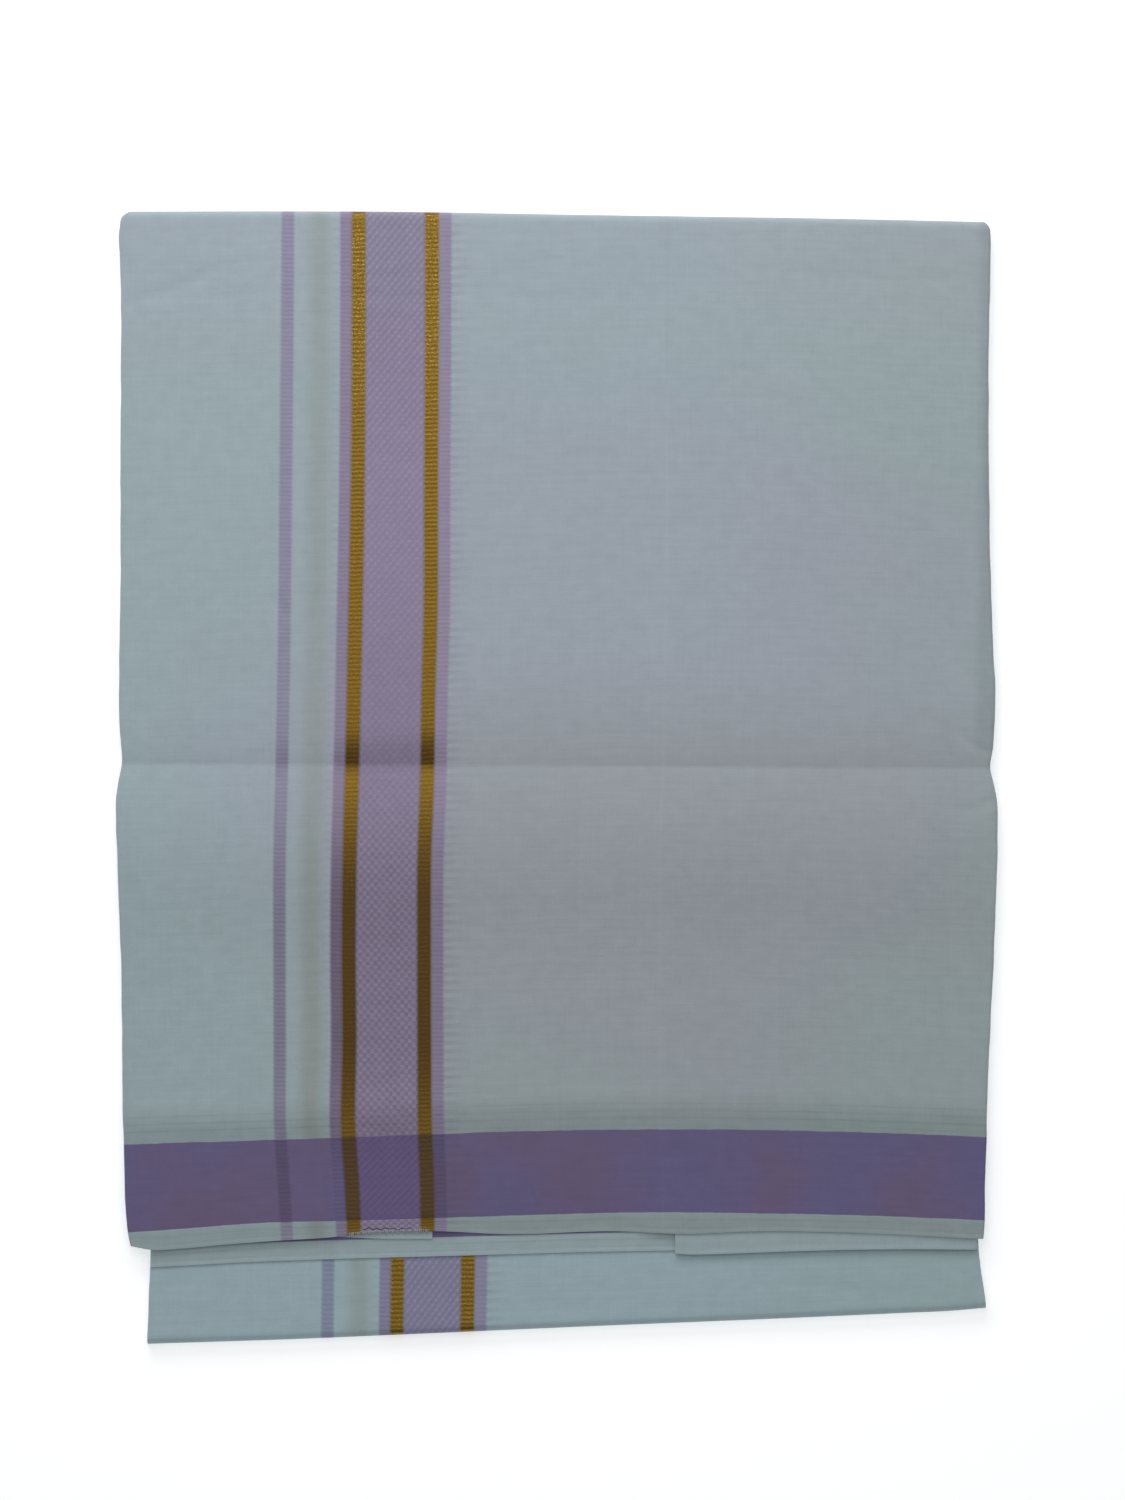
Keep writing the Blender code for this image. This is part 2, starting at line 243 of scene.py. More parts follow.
# Creases pressed into the top leaf, each a soft trough along a line
TOP_MARKS = rows_of(
    Mark,
    (-172, 190.0, -134, 204.0, 2.0, 0.50), (-174, 216.0, -166, 178.0, 2.8, 0.50),
    (-150, 212.0, -118, 219.0, 2.4, 0.26), (-168, 194.6, -92, 195.0, 2.2, 0.20),
    (-96, 194.2, -32, 194.8, 2.0, 0.34), (-34, 194.4, 46, 193.6, 2.2, 0.14),
    (-104, 201.4, -32, 202.0, 1.8, 0.26), (82, 202.4, 172, 201.4, 2.0, 0.26),
    (-117, 72.6, -107, 66.4, 1.1, 0.60), (-6.4, 219.0, -4.6, 201.0, 1.6, 0.30),
    (160, 18.0, 175, 9.0, 1.7, 0.42), (161, -13.5, 177, -7.5, 1.9, 0.42),
    (-152, -165.0, -118, -151.0, 1.8, 0.16), (-131, -170.0, -96, -160.0, 1.5, 0.09),
    (-172, 150.0, -158, 147.0, 5.0, 0.12), (-172, 96.0, -161, 93.0, 4.0, 0.10),
    (-174, -48.0, -160, -52.0, 5.0, 0.13), (-171, -112.0, -156, -108.0, 6.0, 0.10),
    (174, 176.0, 160, 174.0, 5.0, 0.16), (174, 131.0, 163, 133.0, 4.0, 0.13),
    (174, 84.0, 158, 87.0, 6.0, 0.17), (175, 52.0, 163, 50.0, 4.0, 0.14),
    (176, -41.0, 160, -38.0, 6.0, 0.15), (173, -92.0, 161, -95.0, 5.0, 0.12),
    (30, 150.0, 74, 128.0, 6.0, 0.07), (88, 60.0, 132, 74.0, 7.0, 0.07),
    (-20, -60.0, 30, -86.0, 7.0, 0.07), (92, -108.0, 146, -86.0, 7.0, 0.07),
)

# The end flap's edge and the borders underneath, which show through as faint ridges
TOP_RIDGES = rows_of(
    Mark,
    (48.0, 214.0, 44.4, 118.0, 1.5, 0.10), (44.4, 119.0, 44.4, -33.0, 1.5, 0.12),
    (44.4, -33.0, 43.2, -160.0, 1.5, 0.12), (43.2, -158.0, 47.6, -182.0, 1.3, 0.14),
)
LOWER_MARKS = rows_of(
    Mark,
    (-150, -214.0, -104, -219.0, 3.0, 0.12), (-30, -208.0, 26, -212.0, 4.0, 0.10),
    (92, -200.0, 150, -207.0, 3.0, 0.12), (-158, -203.0, -140, -200.0, 3.0, 0.12),
)

# Creases on the underside, which are pressed upwards
FLOOR_MARKS = rows_of(
    Mark,
    (-166, 4.0, 166, 5.0, 3.0, -0.45), (-120, 150.0, -60, 120.0, 4.0, -0.12),
    (40, -120.0, 110, -150.0, 5.0, -0.15), (-60, -60.0, 20, -90.0, 6.0, -0.10),
    (60, 190.0, 150, 186.0, 4.0, -0.16),
)

# Long shallow swells of a pressed stack: length, turn in degrees, start in turns, height
SWELLS = rows_of(
    Swell,
    (168, 12, 0.10, 0.10), (121, 96, 0.35, 0.08), (83, 38, 0.72, 0.05), (64, 141, 0.27, 0.035),
    (47, 75, 0.55, 0.025), (31, 20, 0.83, 0.015),
)

# Small waves of the side folds: the same columns, with the height sideways
EDGE_SWELLS = rows_of(
    Swell,
    (37, 90, 0.2, 0.06), (23, 90, 0.6, 0.05), (14, 90, 0.4, 0.04),
)


def ease(share):
    """From 0 to 1 with a level start and end."""
    share = np.clip(share, 0.0, 1.0)
    return share * share * (3 - 2 * share)


def along(table, key, value, at):
    """Reads the column named value where the column named key is at, on a smooth curve."""
    keys = np.array([getattr(row, key) for row in table], dtype=float)
    values = np.array([getattr(row, value) for row in table], dtype=float)
    if len(keys) > 2:
        slopes = np.gradient(values, keys)
    else:
        slopes = np.full(2, np.diff(values) / np.diff(keys))
    at = np.clip(at, keys[0], keys[-1])
    i = np.clip(np.searchsorted(keys, at) - 1, 0, len(keys) - 2)
    width = keys[i + 1] - keys[i]
    t = (at - keys[i]) / width
    return (
        values[i] * (1 + 2 * t) * (1 - t) ** 2
        + slopes[i] * width * t * (1 - t) ** 2
        + values[i + 1] * t * t * (3 - 2 * t)
        + slopes[i + 1] * width * t * t * (t - 1)
    )


def line_at(line, x):
    """The y of a line where it crosses x."""
    return along(line, "x", "y", x)


def middle_of(line):
    return float(line_at(line, 0.0))


def level_top(level):
    return level * PITCH + WALL


def settled(row, z):
    """The height z once the crease and the swell in front of it are pressed into the pack.
    Both fade downwards, so the underside stays flat."""
    from_crease = row - CREASE_Y
    reach = np.where(from_crease > 0, CREASE_BACK, CREASE_FRONT)
    crease = CREASE_DEPTH * np.exp(-np.abs(from_crease) / reach)
    swell = SWELL_HEIGHT * np.exp(-(((row - SWELL_Y) / SWELL_REACH) ** 2))
    share = np.maximum(z - WALL, 0.0) / (PACK_HEIGHT - WALL)
    return z + (swell - crease) * share


def slanted(row, x, front, back):
    """Where a section crosses x: it leans with the end that it is near, and with the crease."""
    to_front = 1 - ease((row - middle_of(front)) / END_FADE)
    to_back = 1 - ease((middle_of(back) - row) / END_FADE)
    lean = CREASE_LEAN * x * (1 - to_front) * (1 - to_back)
    front_shift = (line_at(front, x) - middle_of(front)) * to_front
    back_shift = (line_at(back, x) - middle_of(back)) * to_back
    return row + lean + front_shift + back_shift


def inner_back():
    """The line where the inner stretches stop, just inside the tall fold."""
    return [Line(at.x, at.y - BACK_RADIUS + BACK_INSET) for at in BACK_FOLD]


def wavy(swells, x, y):
    """The height of the long swells at a place."""
    height = 0.0
    for swell in swells:
        turn = math.radians(swell.turn)
        distance = x * math.cos(turn) + y * math.sin(turn)
        turns = distance / swell.length + swell.start
        height = height + swell.height * np.sin(2 * math.pi * turns)
    return height


def marked(marks, x, y):
    """How deep the marks' troughs are at a place: each fades out to its sides and its ends."""
    depth = 0.0
    for mark in marks:
        run_x, run_y = mark.x1 - mark.x0, mark.y1 - mark.y0
        length = math.hypot(run_x, run_y)
        share = ((x - mark.x0) * run_x + (y - mark.y0) * run_y) / length**2
        aside = ((x - mark.x0) * run_y - (y - mark.y0) * run_x) / length
        bow = aside - MARK_BOW * length * np.sin(math.pi * np.clip(share, 0, 1))
        beyond = np.maximum(np.abs(share - 0.5) - MARK_CORE, 0) * length
        fade = np.exp(-((beyond / (MARK_END * length + mark.width)) ** 2))
        depth = depth + mark.depth * np.exp(-((bow / mark.width) ** 2)) * fade
    return depth


def spaced(stops):
    """Places from the first stop to the last; each stop after the first is (place, spacing)."""
    places = [stops[0]]
    for place, spacing in stops[1:]:
        count = max(1, round((place - places[-1]) / spacing))
        places += list(np.linspace(places[-1], place, count + 1)[1:])
    return np.array(places)


def lip(radius, tuck):
    """The turn of a side fold as (inward, depth, outward round the turn), from the top down.
    radius is one number, or a column with one for each row."""
    radius = np.reshape(radius, (-1, 1))
    angles = np.linspace(0, math.pi, LIP_STEPS + 1)
    inward = np.append(radius * (1 - np.sin(angles)), radius + tuck, axis=1)
    depth = np.append(radius * (1 - np.cos(angles)), 2 * radius, axis=1)
    run = np.append(radius * angles, radius * math.pi + tuck, axis=1)
    return inward, depth, run


def across(left, right, columns, left_lip=None, right_lip=None):
    """Sections from left to right, one for each row: x, depth below the level, and the place
    across once the cloth is unfolded. left and right are columns of edges, one for each row,
    columns the shares between them, and a lip is (radius, tuck) or None."""
    left = np.reshape(left, (-1, 1)).astype(float)
    right = np.reshape(right, (-1, 1)).astype(float)
    parts = []
    start = left + (np.reshape(left_lip[0], (-1, 1)) if left_lip else 0.0)
    end = right - (np.reshape(right_lip[0], (-1, 1)) if right_lip else 0.0)
    if left_lip:
        inward, depth, run = (part[:, :0:-1] for part in lip(*left_lip))
        parts.append((left + inward, depth + 0 * left, start - run))
    middle = start + (end - start) * np.asarray(columns)
    parts.append((middle, 0 * middle, middle))
    if right_lip:
        inward, depth, run = (part[:, 1:] for part in lip(*right_lip))
        parts.append((right - inward, depth + 0 * right, end + run))
    return [np.concatenate([part[i] for part in parts], axis=1) for i in range(3)]


def woven_place(x, y, stripes):
    """The place u across the woven plan: the thin lilac and both golds lie where stripes says."""
    thin = along(stripes, "y", "thin", y)
    first = along(stripes, "y", "first", y)
    second = along(stripes, "y", "second", y)
    left = THIN_START * (first - x) / (first - thin)
    middle = SECOND_GOLD * (x - first) / (second - first)
    left = np.where(x < thin, THIN_START + x - thin, left)
    return np.where(x < first, left, np.where(x < second, middle, SECOND_GOLD + x - second))


def band_place(x, y, hem):
    """The place v along the woven plan: the weft band lies where its two lines say."""
    hem_y = line_at(hem, x)
    front = line_at(BAND_FRONT, x)
    back = line_at(BAND_BACK, x)
    in_margin = -MARGIN_LENGTH * (front - y) / (front - hem_y)
    in_band = BAND_LENGTH * (y - front) / (back - front)
    return np.where(y < front, in_margin, np.where(y < back, in_band, BAND_LENGTH + y - back))


def linked(name, data):
    """The scene's object for a mesh, a light or a camera."""
    holder = bpy.data.objects.new(name, data)
    bpy.context.scene.collection.objects.link(holder)
    return holder


def grid_faces(rows, columns, offset, flip):
    """Quads of a grid of points that starts at offset."""
    i, j = np.meshgrid(np.arange(rows - 1), np.arange(columns - 1), indexing="ij")
    corner = offset + i * columns + j
    quads = np.stack([corner, corner + 1, corner + columns + 1, corner + columns], axis=-1)
    quads = quads.reshape(-1, 4)
    return quads[:, ::-1] if flip else quads


def border_of(rows, columns):
    """The indices round a grid of points, once round."""
    front = np.arange(columns)
    right = np.arange(1, rows) * columns + columns - 1
    back = (rows - 1) * columns + np.arange(columns - 2, -1, -1)
    left = np.arange(rows - 2, 0, -1) * columns
    return np.concatenate([front, right, back, left])


def normals_of(points):
    """The outward direction at each point of a grid."""
    down_rows = np.gradient(points, axis=0)
    down_columns = np.gradient(points, axis=1)
    normal = np.cross(down_columns, down_rows)
    return normal / np.linalg.norm(normal, axis=2, keepdims=True)


# How the bake's map is shared: the outer side takes most of it, the inner side a strip
OUTER_SHARE = 0.86
INNER_START = 0.89
RIM_START = 0.868
RIM_END = 0.882
MAP_MARGIN = 0.004


def cloth_piece(name, points, places, thickness, material):
    """A thin closed shell of cloth. points is a grid of places in millimetres on its outer
    side, places the same grid's (u, v) in the woven plan, and thickness one number or a grid."""
    rows, columns = points.shape[:2]
    count = rows * columns
    thickness = np.broadcast_to(thickness, (rows, columns))[..., None]
    inner = points - normals_of(points) * thickness
    vertices = np.concatenate([points.reshape(-1, 3), inner.reshape(-1, 3)]) * MM
    outer_faces = grid_faces(rows, columns, 0, False)
    inner_faces = grid_faces(rows, columns, count, True)
    border = border_of(rows, columns)
    following = np.roll(border, -1)
    rim_faces = np.stack([border, border + count, following + count, following], axis=-1)
    faces = np.concatenate([outer_faces, inner_faces, rim_faces])
    mesh = bpy.data.meshes.new(name)
    mesh.from_pydata(vertices.tolist(), [], faces.tolist())

    corners = faces.reshape(-1)
    woven = np.tile(places.reshape(-1, 2), (2, 1))[corners]
    mesh.uv_layers.new(name="Woven").data.foreach_set("uv", woven.ravel())

    i, j = np.meshgrid(np.linspace(0, 1, rows), np.linspace(0, 1, columns), indexing="ij")
    sheet = np.stack([j, i], axis=-1).reshape(-1, 2) * (1 - 2 * MAP_MARGIN) + MAP_MARGIN
    outer_map = sheet * [1, OUTER_SHARE]
    inner_map = sheet * [1, 1 - INNER_START - MAP_MARGIN] + [0, INNER_START]
    baked = np.concatenate([outer_map, inner_map])[corners]
    turn = np.linspace(MAP_MARGIN, 1 - MAP_MARGIN, len(border) + 1)
    first_rim = (len(outer_faces) + len(inner_faces)) * 4
    rim_map = np.empty((len(border), 4, 2))
    rim_map[..., 0] = np.stack([turn[:-1], turn[:-1], turn[1:], turn[1:]], axis=1)
    rim_map[..., 1] = (RIM_START, RIM_END, RIM_END, RIM_START)
    baked[first_rim:] = rim_map.reshape(-1, 2)
    mesh.uv_layers.new(name="OFBake").data.foreach_set("uv", baked.ravel())

    mesh.materials.append(material)
    mesh.shade_smooth()
    mesh.set_sharp_from_angle(angle=math.radians(SHARP_ANGLE))
    mesh.validate()
    return linked(name, mesh)


def hem_shape(from_hem):
    """How the cloth lies near a hem, by the distance from it: (lowered, thickness)."""
    droop = HEM_DROOP * (1 - ease(from_hem / HEM_DROOP_REACH))
    roll = ROLL_HEIGHT * np.exp(-(((from_hem - ROLL_WIDTH) / ROLL_WIDTH) ** 2))
    thickness = CLOTH + (HEM_THICKNESS - CLOTH) * (1 - ease((from_hem - HEM_WIDTH) / FINE))
    return droop - roll, thickness


def columns_between(width, spacing, edge_spacing, edge):
    """Shares across a stretch, closer together near both edges."""
    places = spaced([0.0, (edge, edge_spacing), (width - edge, spacing), (width, edge_spacing)])
    return places / width


def sink(x, row):
    """How far the top leaf lies below its level between the two flaps."""
    from_under = ease((x - UNDER_FLAP_END - SINK_MARGIN) / SINK_EASE)
    from_end = ease((END_FLAP_START - SINK_MARGIN - x) / SINK_EASE)
    to_back = ease((middle_of(BACK_FOLD) - BACK_RADIUS - row) / END_FADE)
    to_hem = 1 - ease((row - middle_of(TOP_HEM)) / MIDDLE_DROOP_REACH)
    return (SINK_DEPTH + MIDDLE_DROOP * to_hem) * from_under * from_end * to_back


def round_the_back(x, depth, radius, angles, inset=0.0):
    """Points of sections that turn about the tall fold's line, one section for each angle.
    The turn is squarer than a circle, as a pressed stack's is."""
    reach = radius - depth
    angle = angles[:, None]
    out = np.abs(np.sin(angle)) ** BACK_SQUARENESS
    up = np.sign(np.cos(angle)) * np.abs(np.cos(angle)) ** BACK_SQUARENESS
    centre = line_at(BACK_FOLD, x) - BACK_RADIUS + inset
    return np.stack([x, centre + reach * out, BACK_RADIUS + reach * up], axis=-1)


def run_along(points):
    """The distance from the first row at each row, down the middle column."""
    steps = np.linalg.norm(np.diff(points[:, points.shape[1] // 2], axis=0), axis=1)
    return np.append(0.0, np.cumsum(steps))[:, None]


def with_inner_turn(points, places, x, depth, level):
    """Carries an inner stretch on round the inside of the tall fold, from its last section."""
    angles = np.linspace(0, INNER_TURN, FOLD_STEPS // 2 + 1)[1:]
    radius = level_top(level) - BACK_RADIUS
    count = len(angles)
    x = np.repeat(x[-1:], count, axis=0)
    depth = np.repeat(depth[-1:], count, axis=0)
    turned = round_the_back(x, depth, radius, angles, BACK_INSET)
    further = np.repeat(places[-1:], count, axis=0)
    further[..., 1] += run_along(np.concatenate([points[-1:], turned]))[1:]
    return np.concatenate([points, turned]), np.concatenate([places, further])


def top_leaf(material):
    """From the hem back over the pack, round the tall fold and a little way under."""
    hem = middle_of(TOP_HEM)
    fold = middle_of(BACK_FOLD) - BACK_RADIUS
    straight = spaced([
        hem,
        (hem + HEM_MARGIN, FINE),
        (CREASE_START, BROAD),
        (CREASE_Y, FINE + GAP),
        (CREASE_END, FINE + GAP),
        (fold, BROAD),
    ])
    turn = np.linspace(0, math.pi, FOLD_STEPS + 1)[1:]
    rows = np.concatenate([straight, fold + BACK_RADIUS * np.sin(turn)])
    under = np.append(0 * straight, ease(2 * turn / math.pi - 1))
    wave = wavy(EDGE_SWELLS, 0.0, rows)
    left = along(TOP_EDGES, "y", "left", rows) + wave + TAIL_INSET * under
    right = along(TOP_EDGES, "y", "right", rows) + wave - TAIL_INSET * under
    columns = columns_between(TOP_SPAN, BROAD, MIDDLING, TOP_EDGE_REACH)
    side_fold = (LIP_RADIUS + (THIN_LIP_RADIUS - LIP_RADIUS) * under, LIP_TUCK)
    x, depth, run = across(left, right, columns, side_fold, side_fold)

    flat = len(straight)
    row = straight[:, None]
    flat_x = x[:flat]
    y = slanted(row, flat_x, TOP_HEM, BACK_FOLD)
    on_top = np.where(depth[:flat] == 0.0, 1.0, 0.0)
    to_fold = ease((fold - row) / TOP_RELIEF_FADE)
    relief = wavy(SWELLS, flat_x, y)
    relief = relief - marked(TOP_MARKS, flat_x, y) + marked(TOP_RIDGES, flat_x, y)
    lowered, hem_thickness = hem_shape(row - hem)
    z = PACK_HEIGHT - np.where(on_top == 1.0, sink(flat_x, row), 0.0) - depth[:flat]
    z = settled(row, z) + relief * on_top * to_fold - lowered
    straight_points = np.stack([flat_x, y, z], axis=-1)

    turned = round_the_back(x[flat:], depth[flat:], BACK_RADIUS, turn)
    tail = turned[-1:] - np.array([[[0.0, TOP_TAIL, 0.0]]])
    points = np.concatenate([straight_points, turned, tail])

    run = np.concatenate([run, run[-1:]])
    u = np.concatenate([
        woven_place(run[:flat], y, TOP_STRIPES),
        woven_place(run[flat:], middle_of(BACK_FOLD), TOP_STRIPES),
    ])
    v = band_place(run[:flat], y, TOP_HEM)
    v = np.concatenate([v, v[-1:] + run_along(points[flat - 1:])[1:]])
    thickness = np.full(u.shape, CLOTH)
    thickness[:flat] = hem_thickness
    places = np.stack([u, v], axis=-1)
    return cloth_piece("cloth_top_leaf", points, places, thickness, material)


def flat_stretch(name, level, hem_line, edges, lips, columns, material, band=False):
    """A stretch that lies flat inside the pack, from its hem to the tall fold. edges gives its
    left and right at each row."""
    back = inner_back()
    hem = middle_of(hem_line)
    rows = spaced([
        hem,
        (hem + HEM_MARGIN, FINE),
        (hem + 2 * HEM_MARGIN, MIDDLING),
        (CREASE_START, UNSEEN),
        (CREASE_END, BROAD),
        (middle_of(back), UNSEEN),
    ])
    left, right = edges(rows)
    x, depth, run = across(left, right, columns, *lips)
    row = rows[:, None]
    y = slanted(row, x, hem_line, back)
    lowered, thickness = hem_shape(row - hem)
    relief = INNER_RELIEF * wavy(SWELLS, x, y)
    z = settled(row, level_top(level) - depth) - lowered + np.minimum(relief, 0.0)
    v = y - line_at(hem_line, x) - MARGIN_LENGTH
    if not band:
        v = v + BEYOND_BAND
    places = np.stack([run + INNER_PLAIN_START, v], axis=-1)
    points = np.stack([x, y, z], axis=-1)
    points, places = with_inner_turn(points, places, x, depth, level)
    thickness = np.append(thickness[:, 0], [CLOTH] * (len(points) - len(rows)))[:, None]
    return cloth_piece(name, points, places, thickness, material)


def under_flap(material):
    """The flap under the top leaf's left side."""

    def edges(rows):
        left = along(TOP_EDGES, "y", "left", np.maximum(rows, CORNER_ROW))
        return left + LIP_REACH, 0 * rows + UNDER_FLAP_END

    columns = columns_between(FLAP_SPAN, BROAD, FINE, INNER_EDGE_REACH)
    return flat_stretch(
        "cloth_under_flap", FLAP_LEVEL, UNDER_HEM, edges, (None, None), columns, material
    )


def end_flap(material):
    """The other end's flap on the right, with the side fold that joins it to its leaf."""

    def edges(rows):
        right = along(TOP_EDGES, "y", "right", np.maximum(rows, CORNER_ROW))
        return 0 * rows + END_FLAP_START, right - LIP_REACH

    columns = columns_between(FLAP_SPAN, BROAD, FINE, INNER_EDGE_REACH)
    lips = (None, (LIP_RADIUS, LIP_TUCK))
    return flat_stretch("cloth_end_flap", FLAP_LEVEL, END_FLAP_HEM, edges, lips, columns, material)


def end_leaf(material):
    """The other end's leaf, with its own weft band just behind its white margin."""

    def edges(rows):
        fold = along(TOP_EDGES, "y", "right", np.maximum(rows, CORNER_ROW)) - 2 * LIP_REACH
        return along(LOWER_EDGES, "y", "left", rows), fold

    columns = columns_between(LEAF_SPAN, BROAD, FINE, INNER_EDGE_REACH)
    lips = ((THIN_LIP_RADIUS, THIN_LIP_TUCK), None)
    return flat_stretch(
        "cloth_end_leaf", END_LEVEL, END_HEM, edges, lips, columns, material, band=True
    )


def lower_leaf(material):
    """From the tall fold forward along the floor, round the low front fold and back on top."""
    back = inner_back()
    front_row = middle_of(FRONT_FOLD) + FRONT_RADIUS
    floor_back = [Line(at.x, at.y - BACK_RADIUS - TOP_TAIL - GAP) for at in BACK_FOLD]
    floor_rows = spaced([
        front_row,
        (CREASE_START, UNSEEN / 2),
        (CREASE_END, BROAD),
        (middle_of(floor_back), UNSEEN / 2),
    ])[::-1]
    top_rows = spaced([
        front_row,
        (front_row + 4 * HEM_MARGIN, BROAD / 2),
        (CREASE_START, UNSEEN),
        (CREASE_END, BROAD),
        (middle_of(back), UNSEEN),
    ])
    turn = np.linspace(0, math.pi, FOLD_STEPS + 1)[1:-1]
    rows = np.concatenate([floor_rows, front_row - FRONT_RADIUS * np.sin(turn), top_rows])
    wave = wavy(EDGE_SWELLS, 0.0, rows + LOWER_WAVE_SHIFT)
    left = along(LOWER_EDGES, "y", "left", rows) + wave
    right = along(LOWER_EDGES, "y", "right", rows) + wave
    columns = columns_between(LEAF_SPAN, BROAD, MIDDLING, LOWER_EDGE_REACH)
    thin_lip = (THIN_LIP_RADIUS, THIN_LIP_TUCK)
    x, depth, run = across(left, right, columns, thin_lip, thin_lip)
    turn_end = len(floor_rows) + len(turn)
    on_floor = slice(0, len(floor_rows))
    in_turn = slice(len(floor_rows), turn_end)
    on_top = slice(turn_end, None)

    floor_x = x[on_floor]
    row = floor_rows[:, None]
    y = slanted(row, floor_x, FRONT_FOLD, floor_back)
    pressed = np.where(depth[on_floor] == 0.0, -marked(FLOOR_MARKS, floor_x, y), 0.0)
    floor_points = np.stack([floor_x, y, depth[on_floor] + pressed], axis=-1)

    turn_x = x[in_turn]
    angle = turn[:, None]
    radius = FRONT_RADIUS - depth[in_turn]
    centre = line_at(FRONT_FOLD, turn_x) + FRONT_RADIUS
    turned = np.stack(
        [turn_x, centre - radius * np.sin(angle), FRONT_RADIUS - radius * np.cos(angle)], axis=-1
    )

    top_x = x[on_top]
    row = top_rows[:, None]
    top_y = slanted(row, top_x, FRONT_FOLD, back)
    relief = INNER_RELIEF * wavy(SWELLS, top_x, top_y) - marked(LOWER_MARKS, top_x, top_y)
    fade = ease((row - front_row) / LOWER_RELIEF_FADE)
    z = settled(row, level_top(LOWER_LEVEL) - depth[on_top])
    z = z + np.minimum(relief, LOWER_RELIEF_LIMIT) * fade
    top_points = np.stack([top_x, top_y, z], axis=-1)

    points = np.concatenate([floor_points, turned, top_points])
    u = np.concatenate([
        woven_place(run[on_floor], y, FLOOR_STRIPES),
        woven_place(run[in_turn], front_row, LOWER_STRIPES),
        woven_place(run[on_top], top_y, LOWER_STRIPES),
    ])
    v = BEYOND_BAND + run_along(points) + 0 * u
    places = np.stack([u, v], axis=-1)
    points, places = with_inner_turn(points, places, x, depth, LOWER_LEVEL)
    return cloth_piece("cloth_lower_leaf", points, places, CLOTH, material)


# The folds that show along the pack's sides: height share, and how far in each one lies
LEFT_FOLDS = rows_of(
    Fold,
    (0.20, 0.4, 0.5, 0.1), (0.17, 1.3, 0.7, 0.6), (0.22, 0.2, 0.4, 0.3), (0.16, 1.6, 0.8, 0.8),
    (0.25, 0.5, 0.6, 0.45),
)
RIGHT_FOLDS = rows_of(
    Fold,
    (0.23, 0.6, 0.5, 0.7), (0.18, 0.1, 0.3, 0.2), (0.21, 1.5, 0.8, 0.5), (0.15, 0.7, 0.5, 0.9),
    (0.23, 0.3, 0.4, 0.35),
)
FOLD_POINTS = 6
FOLD_REACH = 1.6
SIDE_INSET = 0.6
FRONT_INSET = WALL + GAP + 0.2
DRIFT_LENGTH = 310.0
HIDDEN_COLUMNS = np.linspace(0.03, 0.97, 9)
HIDDEN_START = 1200


def fold_side(folds, row, bottom, height):
    """One side of the hidden layers from the bottom up, as (inward, z)."""
    side = []
    z = bottom
    for fold in folds:
        radius = fold.height * height / 2
        turns = row / DRIFT_LENGTH + fold.turn
        inset = fold.inset + fold.drift * (1 + math.sin(2 * math.pi * turns))
        for step in range(FOLD_POINTS):
            angle = math.pi * step / FOLD_POINTS
            inward = inset * math.sin(angle) ** 0.5 + radius * FOLD_REACH * (1 - math.sin(angle))
            side.append((inward + SIDE_INSET, z + radius * (1 - math.cos(angle))))
        z += 2 * radius
    side.append((side[0][0], z))
    return side


def hidden_layers(material):
    """The layers between the underside and the lower leaf, a flat tube with uneven folds."""
    front = [Line(at.x, at.y + FRONT_INSET) for at in FRONT_FOLD]
    back = inner_back()
    rows = spaced([middle_of(front), (middle_of(back), UNSEEN / 2)])
    bottom = WALL + GAP
    height = LOWER_LEVEL * PITCH - GAP - bottom
    points = []
    for row in rows:
        left = float(along(LOWER_EDGES, "y", "left", row))
        right = float(along(LOWER_EDGES, "y", "right", row))
        ring = [(right - inward, z) for inward, z in fold_side(RIGHT_FOLDS, row, bottom, height)]
        ring += [(right - (right - left) * share, bottom + height) for share in HIDDEN_COLUMNS]
        downwards = fold_side(LEFT_FOLDS, row, bottom, height)[::-1]
        ring += [(left + inward, z) for inward, z in downwards]
        ring += [(left + (right - left) * share, bottom) for share in HIDDEN_COLUMNS]
        ring.append(ring[0])
        points.append([
            (x, float(slanted(row, x, front, back)), float(settled(row, z))) for x, z in ring
        ])
    points = np.array(points)
    step = np.linalg.norm(np.diff(points, axis=1, prepend=points[:, :1]), axis=2)
    u = np.cumsum(step, axis=1) + PLAIN_START
    v = points[..., 1] + HIDDEN_START
    places = np.stack([u, v], axis=-1)
    return cloth_piece("cloth_hidden_layers", points, places, CLOTH / 2, material)


class Value:
    """A node's output, which takes sums and products with numbers and other outputs."""

    def __init__(self, graph, socket):
        self.graph = graph
        self.socket = socket

    def __add__(self, other):
        return self.graph.math("ADD", self, other)

    def __sub__(self, other):
        return self.graph.math("SUBTRACT", self, other)

    def __mul__(self, other):
        return self.graph.math("MULTIPLY", self, other)

    def rise(self, start, end):
        """From 0 at start to 1 at end, smoothly."""
        node = self.graph.node("MapRange")
        node.interpolation_type = "SMOOTHSTEP"
        self.graph.put(self, node.inputs["Value"])
        self.graph.put(start, node.inputs["From Min"])
        self.graph.put(end, node.inputs["From Max"])
        return Value(self.graph, node.outputs["Result"])

    def scaled(self, start, end):
        """A value from 0 to 1 brought to the range from start to end."""
        return self.graph.math("MULTIPLY_ADD", self, end - start, start)

    def band(self, start, end, soft):
        """1 between start and end, with soft edges."""
        return self.rise(start - soft, start + soft) * self.rise(end + soft, end - soft)

    def wave(self, pitch, shift=0.0):
        """A ripple from 0 to 1."""
        turn = self.graph.math("MULTIPLY_ADD", self, 2 * math.pi / pitch, shift)
        return self.graph.math("MULTIPLY_ADD", self.graph.math("SINE", turn), 0.5, 0.5)


